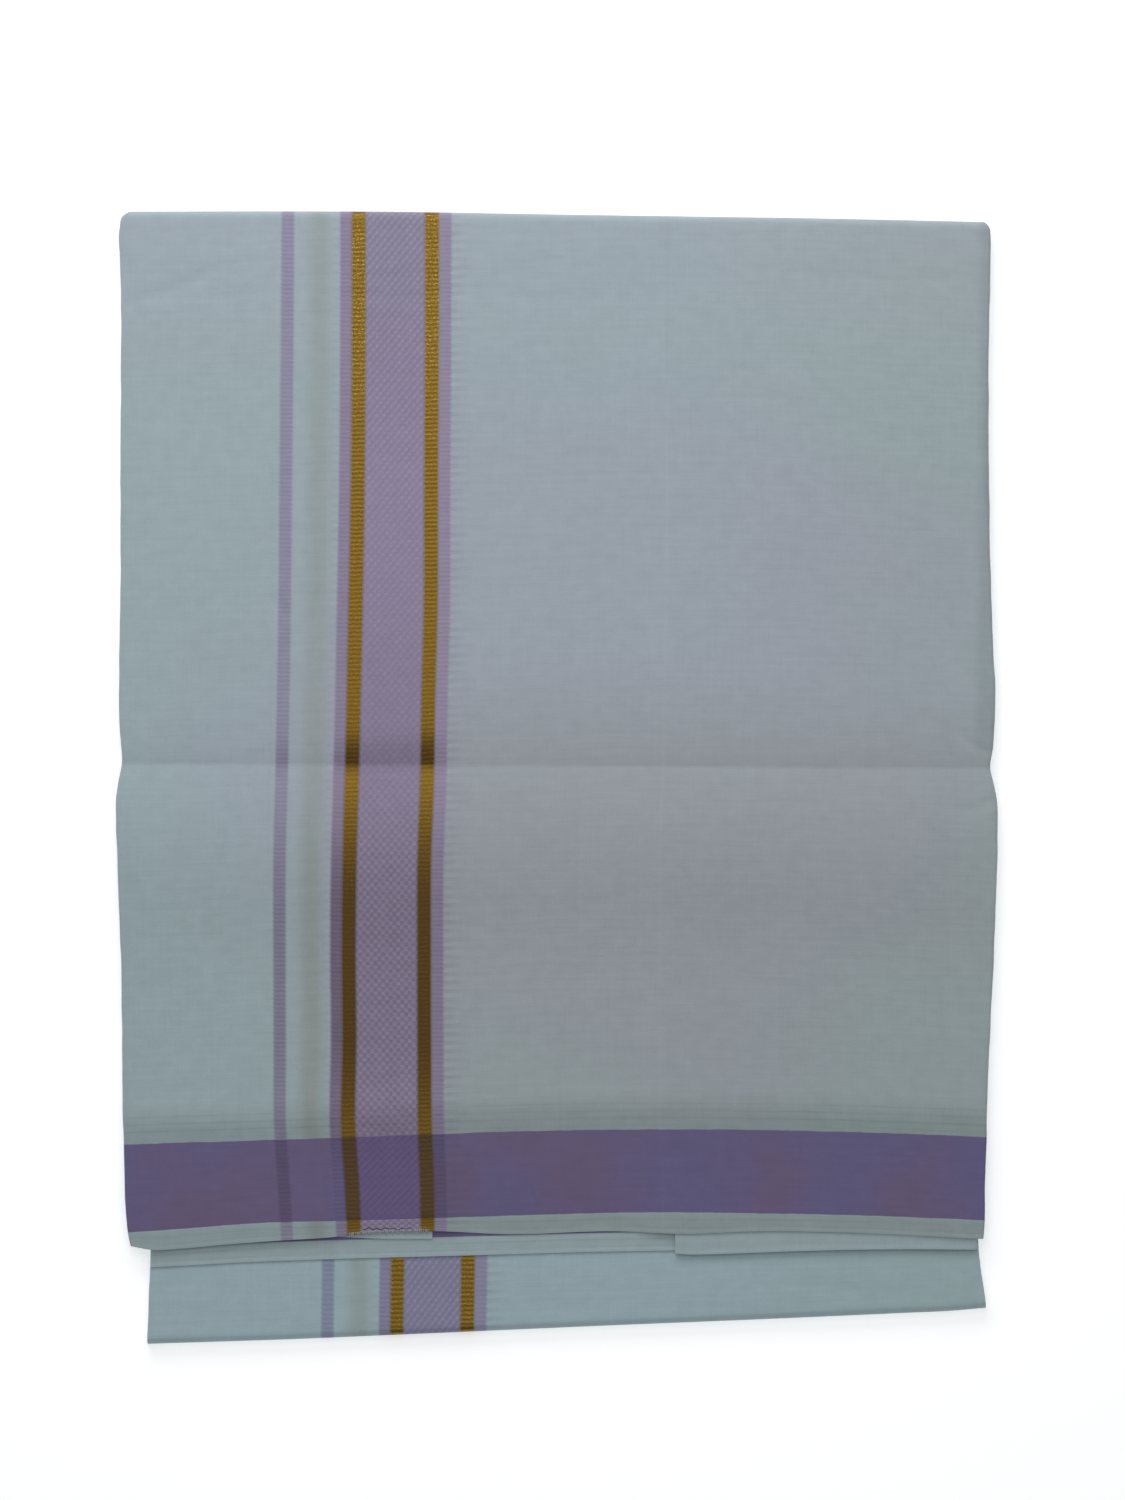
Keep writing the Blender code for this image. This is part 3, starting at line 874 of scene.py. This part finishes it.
class Graph:
    """Builds a material's nodes, from numbers, colours and values."""

    def __init__(self, name):
        self.material = bpy.data.materials.new(name)
        self.material.use_nodes = True
        self.tree = self.material.node_tree
        self.shader = self.tree.nodes["Principled BSDF"]
        woven = self.node("UVMap")
        woven.uv_map = "Woven"
        split = self.node("SeparateXYZ")
        self.tree.links.new(woven.outputs[0], split.inputs[0])
        self.u = Value(self, split.outputs[0])
        self.v = Value(self, split.outputs[1])

    def node(self, kind):
        return self.tree.nodes.new("ShaderNode" + kind)

    def put(self, value, socket):
        if isinstance(value, Value):
            self.tree.links.new(value.socket, socket)
        elif isinstance(value, tuple):
            socket.default_value = (*value, 1.0)
        else:
            socket.default_value = value

    def give(self, name, value):
        """Sets one of the shader's inputs."""
        self.put(value, self.shader.inputs[name])

    def math(self, operation, *values):
        node = self.node("Math")
        node.operation = operation
        for value, socket in zip(values, node.inputs):
            self.put(value, socket)
        return Value(self, node.outputs[0])

    def largest(self, first, *others):
        for other in others:
            first = self.math("MAXIMUM", first, other)
        return first

    def noise(self, u_size, v_size, seed, detail=2.0):
        """Soft noise whose spots are about u_size by v_size millimetres."""
        place = self.node("CombineXYZ")
        self.put(self.math("DIVIDE", self.u, u_size), place.inputs[0])
        self.put(self.math("DIVIDE", self.v, v_size), place.inputs[1])
        self.put(seed, place.inputs[2])
        node = self.node("TexNoise")
        self.tree.links.new(place.outputs[0], node.inputs["Vector"])
        self.put(1.0, node.inputs["Scale"])
        self.put(detail, node.inputs["Detail"])
        return Value(self, node.outputs[0])

    def mix(self, share, first, second, blend="MIX"):
        node = self.node("Mix")
        node.data_type = "RGBA"
        node.blend_type = blend
        self.put(share, node.inputs[0])
        self.put(first, node.inputs[6])
        self.put(second, node.inputs[7])
        return Value(self, node.outputs[2])

    def tinted(self, share, colour, tint):
        """A colour multiplied by a tint, by a share from 0 to 1."""
        return self.mix(share, colour, self.mix(1.0, colour, tint, "MULTIPLY"))

    def shaded(self, colour, shade):
        """A colour multiplied by a number."""
        node = self.node("CombineColor")
        for socket in node.inputs[:3]:
            self.put(shade, socket)
        return self.mix(1.0, colour, Value(self, node.outputs[0]), "MULTIPLY")

    def bump(self, height, distance, strength):
        node = self.node("Bump")
        self.put(strength, node.inputs["Strength"])
        self.put(distance * MM, node.inputs["Distance"])
        self.put(height, node.inputs["Height"])
        self.give("Normal", Value(self, node.outputs[0]))


# Colours of the yarns and of the cloth that they make, as linear red, green and blue
GROUND_COOL = (0.430, 0.535, 0.560)
GROUND_LILAC = (0.450, 0.500, 0.570)
GROUND_FRESH = (0.435, 0.570, 0.605)
GROUND_BACK = (0.475, 0.528, 0.598)
BEIGE = (0.375, 0.425, 0.410)
THIN_LILAC = (0.355, 0.340, 0.455)
NARROW_LILAC = (0.345, 0.290, 0.420)
RIGHT_LILAC = (0.375, 0.320, 0.455)
DOBBY_LILAC = (0.330, 0.268, 0.402)
DOBBY_PALE = (0.445, 0.390, 0.530)
GOLD = (0.238, 0.134, 0.012)
GOLD_PAINTED_GLINT = (0.720, 0.500, 0.120)
GOLD_DARK = (0.150, 0.082, 0.008)
GOLD_IN_BAND = (0.073, 0.046, 0.026)
BAND_LILAC = (0.175, 0.150, 0.300)
BAND_PLUM = (0.190, 0.143, 0.252)
BAND_OVER_DOBBY = (0.165, 0.123, 0.256)

# Tints that multiply a colour: painted shade on the ground in front of the crease and to the
# right; on the gold in front of the crease, partly the borders piled under it and partly painted
# shade; painted shade on the gold in the crease; and the front stretch's and far back's own tones
COTTON_PAINTED_SHADE = (0.955, 0.925, 0.885)
GOLD_STACKED_AND_SHADE = (0.455, 0.420, 0.850)
GOLD_CREASE_SHADE = (0.500, 0.440, 0.480)
GOLD_FRONT = (1.130, 1.180, 1.400)
LILAC_FRONT = (0.880, 1.030, 1.040)
DOBBY_BACK = (0.945, 1.050, 1.000)

# The cloth is a little more lilac round this place in the woven plan
CAST_U = 105.0
CAST_V = 190.0
CAST_REACH = 165.0

# Where the tones change, across and then along the woven plan, each from none to full
PAINTED_SHADE_ACROSS = (-45.0, 60.0)
RIGHT_SIDE = (110.0, 230.0)
RIGHT_FOLD = (249.0, 254.0)
STACKED_AND_SHADE_FRONT = (8.0, 76.0)
STACKED_AND_SHADE_BACK = (178.0, 124.0)
DENSE_AND_SHADE_BACK = (50.0, 36.0)
CREASE_SHADE_FRONT = (176.0, 184.0)
CREASE_SHADE_BACK = (198.0, 186.0)
BEHIND_CREASE = (176.0, 200.0)
CLEAR_FRONT = (185.0, 135.0)
CLEAR_BACK = (220.0, 400.0)
BEIGE_FRONT = (200.0, 120.0)
PAINTED_SHADE_FRONT = (232.0, 186.0)
CALM_FRONT = (290.0, 215.0)
PAINTED_GLINT_BACK = (290.0, 370.0)
GROUND_FAR = (310.0, 400.0)
FLAP_EDGE_FAR = (320.0, 345.0)
DOBBY_FAR = (330.0, 390.0)
LATTICE_FRONT = (390.0, 110.0)
BEFORE_FOLD = (450.0, 420.0)
BEFORE_FLOOR = (470.0, 430.0)
FRONT_STRETCH = (470.0, 540.0)

# Bands in the woven plan, from start to end
BEIGE_BAND = (-16.5, -8.5)
FLAP_EDGE = (126.2, 127.2)
HEM_LINES = (-7.0, -0.5)
# A band of painted shade in front of the crease:
LOW_SWELL_SHADE = (105.0, 140.0)
LIGHT_DOBBY = (235.0, 315.0)

RIB_PITCH = 1.72
TOOTH_PITCH = 3.44
LINE_PITCH = 2.9
HATCH_ACROSS = 2.98
HATCH_ALONG = 3.5
BAND_SLOPE = 1.08
EDGE_SOFT = 0.75
COTTON_ROUGHNESS = 0.82
GOLD_ROUGHNESS = 0.42
GOLD_METALLIC = 0.72


def ground(g):
    """The white cotton: its colour, its streaks as a number about 1, and its relief."""
    aside = g.math("POWER", (g.u - CAST_U) * (1 / CAST_REACH), 2.0)
    behind = g.math("POWER", (g.v - CAST_V) * (1 / CAST_REACH), 2.0)
    distance = aside + behind + (g.noise(90, 80, 3.1) - 0.5) * 1.2
    colour = g.mix(distance.rise(1.3, 0.3), GROUND_COOL, GROUND_LILAC)
    colour = g.mix(g.v.rise(*GROUND_FAR) * 0.6, colour, GROUND_BACK)
    colour = g.mix(g.v.rise(*FRONT_STRETCH), colour, GROUND_FRESH)
    weft = g.noise(26, 0.75, 1.7, 3.0)
    warp = g.noise(0.8, 34, 5.3, 3.0)
    slub = g.noise(9, 2.4, 8.2, 2.0)
    mottle = g.noise(5.5, 4.8, 2.7, 2.0)
    grain = g.noise(0.9, 0.8, 6.1, 1.0)
    lines = (g.v + g.noise(30, 5, 4.2) * 5.0).wave(TOOTH_PITCH)
    shade = weft.scaled(-0.05, 0.05) + warp.scaled(-0.028, 0.028)
    shade = shade + mottle.scaled(-0.065, 0.065) + slub.scaled(-0.03, 0.03)
    shade = shade + grain.scaled(-0.04, 0.04) + lines.scaled(-0.007, 0.007)
    return colour, shade + 1.0, weft * 0.6 + warp * 0.35 + grain * 0.5


def weft_lines(g):
    """Faint weft lines, as beside the band and at the hem."""
    return g.v.wave(LINE_PITCH, 0.8).rise(0.6, 1.0)


class Border:
    """Where the stripes and the band are, as values from 0 to 1, and where tones change."""

    def __init__(self, g):
        ragged = (g.noise(3.0, 0.6, 2.2) - 0.5) * 0.7
        self.rib = (g.v + ragged).wave(RIB_PITCH)
        place = g.u + (self.rib - 0.5) * 0.2
        self.thin = place.band(THIN_START, THIN_END, EDGE_SOFT)
        self.outer = place.band(OUTER_START, 0.3, EDGE_SOFT)
        self.right = place.band(SECOND_GOLD + GOLD_WIDTH, LILAC_END, EDGE_SOFT)
        self.middle = g.u.band(GOLD_WIDTH - 0.3, SECOND_GOLD + 0.3, EDGE_SOFT)
        first_gold = g.u.band(0.0, GOLD_WIDTH, EDGE_SOFT)
        second_gold = g.u.band(SECOND_GOLD, SECOND_GOLD + GOLD_WIDTH, EDGE_SOFT)
        self.gold = g.largest(first_gold, second_gold)

        # The teeth beside the last lilac: weft floats that end unevenly
        tooth = (g.v + ragged).wave(TOOTH_PITCH).rise(0.35, 0.75)
        reach = g.u + g.noise(40, 1.7, 6.6) * -9.0
        fading = reach.rise(TEETH_END - 5.0, LILAC_END - 7.0)
        self.teeth = tooth * fading * g.u.rise(LILAC_END - 1, LILAC_END) * 0.32
        self.left_teeth = tooth * g.u.band(OUTER_START - 3.0, OUTER_START, 1.0) * 0.14

        self.ribbed = g.largest(self.thin, self.outer, self.right, self.teeth)
        self.lilacs = g.largest(self.thin, self.outer, self.right, self.middle)
        self.dyed = g.largest(self.ribbed, self.middle)

        # Yarns are darker in front of the crease, partly from the borders piled under them and
        # partly painted shade where they catch less light, and painted shade darkens them in the
        # crease
        self.stacked_and_shade = g.v.rise(*STACKED_AND_SHADE_FRONT) * g.v.rise(*STACKED_AND_SHADE_BACK)
        # Painted shade in the crease, where the yarns in its trough catch less light
        self.pressed = g.v.rise(*CREASE_SHADE_FRONT) * g.v.rise(*CREASE_SHADE_BACK)
        self.front = g.v.rise(*FRONT_STRETCH)
        uneven = g.noise(6, 6, 4.4).scaled(-0.25, 0.25)
        self.in_band = (g.v + uneven).band(0.0, BAND_LENGTH, 0.25)


def ground_with_painted_shade(g, colour):
    """Painted shade: the ground is darker in front of the crease and to the right, where less
    light falls, and beige by a lilac.
    """
    # Painted shade: the ground is darkened in front of the crease and on its right side
    painted_shade = g.v.rise(*PAINTED_SHADE_FRONT) * g.u.rise(*PAINTED_SHADE_ACROSS)
    painted_shade = g.largest(painted_shade, g.u.rise(*RIGHT_SIDE) * 0.5)
    colour = g.tinted(painted_shade, colour, COTTON_PAINTED_SHADE)
    beige = g.u.band(*BEIGE_BAND, 3.5) * g.v.rise(*BEIGE_FRONT).scaled(0.62, 0.95)
    return g.mix(beige, colour, BEIGE)


def lattice_of(g):
    """The middle stripe's dots on two diagonals, one of them weaker towards the back."""
    slope = HATCH_ACROSS / HATCH_ALONG
    rising = (g.v * slope - g.u).wave(HATCH_ACROSS)
    falling = (g.v * slope + g.u).wave(HATCH_ACROSS)
    weaker = g.v.rise(*LATTICE_FRONT).scaled(0.4, 1.0)
    return (rising + falling * weaker).rise(0.4, 1.6)


def dobby_colour(g, lattice):
    """The middle stripe's lilac, paler on its dots."""
    dotted = (g.v + g.u * 0.2).wave(RIB_PITCH).scaled(0.6, 1.0)
    speck = g.noise(1.1, 1.0, 9.4).rise(0.58, 0.70)
    clear = g.largest(g.v.rise(*CLEAR_BACK), g.v.rise(*CLEAR_FRONT)).scaled(0.28, 0.85)
    pale = g.math("MINIMUM", lattice * dotted * clear + speck * 0.18, 1.0)
    return g.mix(pale, DOBBY_LILAC, DOBBY_PALE)


def lilac_stripes(g, border, colour, lattice):
    """The lilac warp stripes over the ground's colour."""
    colour = g.mix(border.thin, colour, THIN_LILAC)
    colour = g.mix(g.largest(border.teeth, border.left_teeth), colour, NARROW_LILAC)
    colour = g.mix(border.outer, colour, NARROW_LILAC)
    colour = g.mix(border.right, colour, RIGHT_LILAC)
    colour = g.mix(border.middle, colour, dobby_colour(g, lattice))
    colour = g.tinted(border.front * border.lilacs, colour, LILAC_FRONT)
    far_back = g.v.rise(*DOBBY_FAR) * g.v.rise(*BEFORE_FLOOR)
    return g.tinted(far_back * border.middle, colour, DOBBY_BACK)


def weft_band(g, border, colour):
    """The lilac weft band, which lies over everything but the gold."""
    plum = g.mix(g.noise(60, 90, 7.7).rise(0.4, 0.6), BAND_LILAC, BAND_PLUM)
    plum = g.mix(border.middle, plum, BAND_OVER_DOBBY)
    over_lilac = g.largest(border.thin, border.right, border.teeth) + border.outer * 0.3
    twill = (g.v * BAND_SLOPE - g.u).wave(HATCH_ACROSS)
    darker = (over_lilac * -0.22 + 1.0) * (twill * border.middle * 0.14 + 0.97)
    return g.mix(border.in_band, colour, g.shaded(plum, darker))


def gold_yarn(g, border):
    """Gold yarn in short floats, with painted highlights that are stronger towards the tall fold:
    colour and relief.
    """
    float_shift = g.noise(2.2, 7, 3.9) * 0.4 + g.noise(0.9, 30, 5.5) * 0.6
    rib = (g.v + float_shift).wave(RIB_PITCH)
    # Painted highlights: bright flecks in the gold's colour, stronger towards the tall fold,
    # nearer the light, and weaker in the front stretch
    painted_shine = g.v.rise(*PAINTED_GLINT_BACK).scaled(0.3, 1.0) * border.front.scaled(1.0, 0.35)
    fleck = g.noise(0.7, 0.55, 1.2).rise(0.50, 0.64)
    painted_glint = fleck * rib.scaled(0.35, 1.0) * painted_shine * 0.55
    calm = g.largest(border.stacked_and_shade, g.v.rise(*CALM_FRONT) * 0.6)
    lively = calm * -0.75 + 1.0
    rib_share = (rib.rise(0.0, 0.9) - 0.6) * lively + 0.6
    colour = g.mix(rib_share, GOLD_DARK, GOLD)
    colour = g.mix(painted_glint * lively, colour, GOLD_PAINTED_GLINT)
    colour = g.mix(border.in_band * 0.8, colour, GOLD_IN_BAND)
    # Painted shade on the gold in front of the crease, partly the borders piled under it
    colour = g.tinted(border.stacked_and_shade, colour, GOLD_STACKED_AND_SHADE)
    # Painted shade on the gold in the crease
    colour = g.tinted(border.pressed, colour, GOLD_CREASE_SHADE)
    colour = g.tinted(border.front, colour, GOLD_FRONT)
    return colour, rib * lively + painted_glint


def cloth_shade(g, border, shade):
    """The cloth's brightness, with its ribs and lines, what lies under it, and painted shade in
    front of the crease, in the crease, by the band and hem and on the right side's fold.
    """
    before_band = g.v.band(BAND_LENGTH + 2, BAND_LENGTH + 13, 1.5)
    line_zone = g.largest(before_band, g.v.band(*HEM_LINES, 0.4))
    shade = shade + weft_lines(g) * line_zone * -0.05
    # Darker just behind the band and on the margin: partly denser picks, partly painted shade
    # where the cloth slopes down to the hem
    dense_and_shade = g.v.rise(BAND_LENGTH - 0.4, BAND_LENGTH + 0.4) * g.v.rise(*DENSE_AND_SHADE_BACK)
    shade = shade - dense_and_shade * 0.21 - g.v.rise(0.0, -0.6) * 0.12
    shade = shade + (border.rib - 0.5) * border.ribbed * 0.07
    # Painted shade on the dyed yarns in front of the crease (partly the borders piled under them)
    # and in the crease
    shade = shade - border.dyed * (border.stacked_and_shade * 0.18 + border.pressed * 0.16)
    shade = shade + border.middle * g.v.band(*LIGHT_DOBBY, 25.0) * 0.06
    # The outer lilac takes more painted shade in front of the crease
    shade = shade + border.stacked_and_shade * border.outer.scaled(-0.04, -0.24)
    # Painted shade in a band in front of the crease
    shade = shade - g.v.band(*LOW_SWELL_SHADE, 20.0) * 0.04

    # Painted highlight and shade along the ridge over the end flap's edge, which also shows from
    # beneath, and painted shade on the right side's fold behind the crease
    ridge_light_and_shade = g.u.band(*FLAP_EDGE, 0.8) * g.v.rise(*FLAP_EDGE_FAR).scaled(0.028, -0.05)
    # Painted shade: the right side's fold is darker behind the crease, where it turns away from
    # the light
    side = g.u.rise(*RIGHT_FOLD) * g.v.rise(*BEHIND_CREASE)
    return shade + (ridge_light_and_shade - side * 0.12) * g.v.rise(*BEFORE_FOLD)


def striped_cotton():
    """White cotton with the woven border stripes and the weft band."""
    g = Graph("striped_cotton")
    border = Border(g)
    lattice = lattice_of(g)
    colour, shade, relief = ground(g)
    colour = ground_with_painted_shade(g, colour)
    colour = lilac_stripes(g, border, colour, lattice)
    colour = weft_band(g, border, colour)
    colour = g.shaded(colour, cloth_shade(g, border, shade))
    gold_colour, gold_relief = gold_yarn(g, border)
    g.give("Base Color", g.mix(border.gold, colour, gold_colour))
    g.give("Metallic", border.gold * GOLD_METALLIC)
    g.give("Roughness", border.gold.scaled(COTTON_ROUGHNESS, GOLD_ROUGHNESS))
    relief = relief + border.rib * border.ribbed * 0.9 + lattice * border.middle * 1.3
    finish_cotton(g, relief + gold_relief * border.gold * 0.8)
    return g.material


def white_cotton():
    """Plain white cotton, with the other end's weft band."""
    g = Graph("white_cotton")
    colour, shade, relief = ground(g)
    colour = g.mix(g.v.band(0.0, BAND_LENGTH, 0.25), colour, BAND_LILAC)
    shade = shade + weft_lines(g) * g.v.band(*HEM_LINES, 0.4) * -0.06
    g.give("Base Color", g.shaded(colour, shade))
    g.give("Roughness", COTTON_ROUGHNESS)
    finish_cotton(g, relief)
    return g.material


def finish_cotton(g, relief):
    g.give("Sheen Weight", 0.12)
    g.give("Sheen Roughness", 0.5)
    g.give("Specular IOR Level", 0.25)
    g.bump(relief, 0.12, 0.6)


def yarn_material(name, colour, dark):
    """Loose cotton yarn with a twist."""
    g = Graph(name)
    g.give("Base Color", g.mix(g.v.wave(0.6) * 0.5, colour, dark))
    g.give("Roughness", COTTON_ROUGHNESS)
    return g.material


# Loose yarns: their sides, how much thinner the far end is, and how the twist runs on
YARN_SIDES = 6
YARN_TAPER = 0.5
YARN_STEP = 0.35


def yarn(name, paths, radius, material):
    """Thin round yarns, each along a list of points in millimetres, thinner at the far end."""
    vertices, faces, woven = [], [], []
    for path in paths:
        path = np.array(path, dtype=float)
        ahead = np.gradient(path, axis=0)
        ahead /= np.linalg.norm(ahead, axis=1, keepdims=True)
        aside = np.cross(ahead, [0.0, 0.0, 1.0])
        aside /= np.maximum(np.linalg.norm(aside, axis=1, keepdims=True), 1e-6)
        above = np.cross(aside, ahead)
        start = len(vertices)
        for i, place in enumerate(path):
            share = i / (len(path) - 1)
            round_radius = radius * (1 - YARN_TAPER * share**4)
            for side in range(YARN_SIDES):
                angle = 2 * math.pi * side / YARN_SIDES
                offset = aside[i] * math.cos(angle) + above[i] * math.sin(angle)
                vertices.append(tuple((place + offset * round_radius) * MM))
                woven.append((angle, i * YARN_STEP))
        for i in range(len(path) - 1):
            for side in range(YARN_SIDES):
                a = start + i * YARN_SIDES + side
                b = start + i * YARN_SIDES + (side + 1) % YARN_SIDES
                faces.append((a, b, b + YARN_SIDES, a + YARN_SIDES))
        last = start + (len(path) - 1) * YARN_SIDES
        faces.append(tuple(start + side for side in range(YARN_SIDES))[::-1])
        faces.append(tuple(last + side for side in range(YARN_SIDES)))
    mesh = bpy.data.meshes.new(name)
    mesh.from_pydata(vertices, [], faces)
    corners = np.empty(len(mesh.loops), dtype=int)
    mesh.loops.foreach_get("vertex_index", corners)
    places = np.array(woven)[corners]
    mesh.uv_layers.new(name="Woven").data.foreach_set("uv", places.ravel())
    mesh.materials.append(material)
    mesh.shade_smooth()
    return linked(name, mesh)


def hem_height(x, y):
    """The top leaf's surface near its hem."""
    row = y - float(line_at(TOP_HEM, x)) + middle_of(TOP_HEM)
    lowered, _ = hem_shape(row - middle_of(TOP_HEM))
    z = settled(row, PACK_HEIGHT - sink(x, row)) - lowered
    return float(z + wavy(SWELLS, x, y))


# The loose yarns at the hem, between the golds
THREAD_START = -77.5
THREAD_END = -56.5
THREAD_Y = -179.9
THREAD_RADIUS = 0.16
FRAY_START = -83.0
FRAY_END = -51.0
FRAY_SPACING = 0.62
FRAY_ROOT = 0.9
FRAY_RADIUS = 0.13


def stray_threads(material):
    """The dark thread that lies in waves on the margin between the golds."""
    path = []
    for x in np.arange(THREAD_START, THREAD_END, 0.5):
        y = THREAD_Y + 0.32 * math.sin(x * 1.9) + 0.18 * math.sin(x * 0.83 + 1)
        path.append((x, y, hem_height(x, y) + 0.08))
    return yarn("stray_thread", [path], THREAD_RADIUS, material)


def frayed_ends(material):
    """Short yarn ends that stand out from the hem between the golds."""
    paths = []
    for number, x in enumerate(np.arange(FRAY_START, FRAY_END, FRAY_SPACING)):
        hem_y = float(line_at(TOP_HEM, x))
        length = 0.7 + 0.5 * math.sin(number * 2.4) ** 2
        lean = 0.5 * math.sin(number * 1.7)
        path = []
        for share in np.linspace(0, 1, 5):
            y = hem_y + FRAY_ROOT - share * (FRAY_ROOT + length)
            z = hem_height(x, max(y, hem_y)) + 0.05 - 0.5 * share**2
            path.append((x + lean * share, y, z))
        paths.append(path)
    return yarn("frayed_ends", paths, FRAY_RADIUS, material)


def floor():
    """A plain pale floor, a little uneven in tone."""
    size = 40.0
    mesh = bpy.data.meshes.new("floor")
    corners = [(-size, -size, 0), (size, -size, 0), (size, size, 0), (-size, size, 0)]
    mesh.from_pydata(corners, [], [(0, 1, 2, 3)])
    material = bpy.data.materials.new("pale_floor")
    material.use_nodes = True
    nodes = material.node_tree.nodes
    shader = nodes["Principled BSDF"]
    place = nodes.new("ShaderNodeTexCoord")
    noise = nodes.new("ShaderNodeTexNoise")
    noise.inputs["Scale"].default_value = 2.0
    tone = nodes.new("ShaderNodeMapRange")
    tone.inputs["To Min"].default_value = 0.90
    tone.inputs["To Max"].default_value = 0.93
    links = material.node_tree.links
    links.new(place.outputs["Object"], noise.inputs["Vector"])
    links.new(noise.outputs[0], tone.inputs["Value"])
    links.new(tone.outputs[0], shader.inputs["Base Color"])
    shader.inputs["Roughness"].default_value = 0.9
    shader.inputs["Emission Color"].default_value = (1.0, 1.0, 1.0, 1.0)
    shader.inputs["Emission Strength"].default_value = 0.5
    mesh.materials.append(material)
    linked("floor", mesh)


# The lights: a wide soft one beyond the tall fold and two above, with places in metres
Light = namedtuple("Light", "name place aim size power")
LIGHTS = (
    Light("window", (-0.30, 1.30, 0.95), (0, 0, 0), (1.2, 0.8), 10.5),
    Light("lamp", (-0.05, 0.32, 1.05), (-0.05, 0.32, 0), (0.5, 0.5), 2.0),
    Light("fill", (0.2, -0.35, 1.9), (0, 0, 0), (1.6, 1.6), 4.6),
)


def area_light(row):
    light = bpy.data.lights.new(row.name, "AREA")
    light.shape = "RECTANGLE"
    light.size, light.size_y = row.size
    light.energy = row.power
    light.color = (1.0, 1.0, 1.0)
    holder = linked(row.name, light)
    holder.location = row.place
    direction = Vector(np.array(row.aim) - np.array(row.place))
    holder.rotation_euler = direction.to_track_quat("-Z", "Y").to_euler()


def studio():
    """The lights and an even pale surround."""
    for row in LIGHTS:
        area_light(row)
    world = bpy.data.worlds.new("surround")
    world.use_nodes = True
    background = world.node_tree.nodes["Background"]
    background.inputs["Color"].default_value = (0.93, 0.96, 1.0, 1.0)
    background.inputs["Strength"].default_value = 0.21
    bpy.context.scene.world = world
    bpy.context.scene.view_settings.view_transform = "Standard"


# The photograph's frame: its height at the pack's top, its centre, and the camera's height
FRAME_HEIGHT = 0.5993
FRAME_CENTRE = (0.0022, 0.0114)
CAMERA_DISTANCE = 3.2
SENSOR = 36.0


def camera():
    """Straight above the pack, with the tall fold at the top of the picture."""
    lens = bpy.data.cameras.new("camera")
    lens.sensor_width = SENSOR
    lens.lens = SENSOR * CAMERA_DISTANCE / FRAME_HEIGHT
    holder = linked("camera", lens)
    holder.location = (*FRAME_CENTRE, CAMERA_DISTANCE + PACK_HEIGHT * MM)
    bpy.context.scene.camera = holder


# Each sheet's solid, its maker, its material, its flat cut in metres and what it lies on
Sheet = namedtuple("Sheet", "node make slot flat below")
UNDER_TOP_LEAF = ["end_flap", "under_flap", "end_leaf"]
SHEETS = (
    Sheet("top_leaf", top_leaf, "striped_cotton", (0.361, 0.421), UNDER_TOP_LEAF),
    Sheet("lower_leaf", lower_leaf, "striped_cotton", (0.346, 0.877), ["hidden_layers"]),
    Sheet("under_flap", under_flap, "white_cotton", (0.121, 0.420), ["end_leaf"]),
    Sheet("end_flap", end_flap, "white_cotton", (0.129, 0.413), ["end_leaf"]),
    Sheet("end_leaf", end_leaf, "white_cotton", (0.339, 0.420), ["lower_leaf"]),
    Sheet("hidden_layers", hidden_layers, "white_cotton", (0.700, 0.435), ["lower_leaf"]),
)


def dress():
    """Makes every piece, attaches it to the root body and hides the solid that it stands in for.
    """
    materials = {"striped_cotton": striped_cotton(), "white_cotton": white_cotton()}
    pieces = [sheet.make(materials[sheet.slot]) for sheet in SHEETS]
    for sheet, piece in zip(SHEETS, pieces):
        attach(piece, "root")
        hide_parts(sheet.node)
    dark_yarn = yarn_material("dark_yarn", (0.10, 0.075, 0.11), (0.06, 0.04, 0.07))
    pale_yarn = yarn_material("pale_yarn", (0.55, 0.57, 0.62), (0.40, 0.40, 0.48))
    for piece in (stray_threads(dark_yarn), frayed_ends(pale_yarn)):
        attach(piece, "root")


camera()
studio()
floor()
dress()
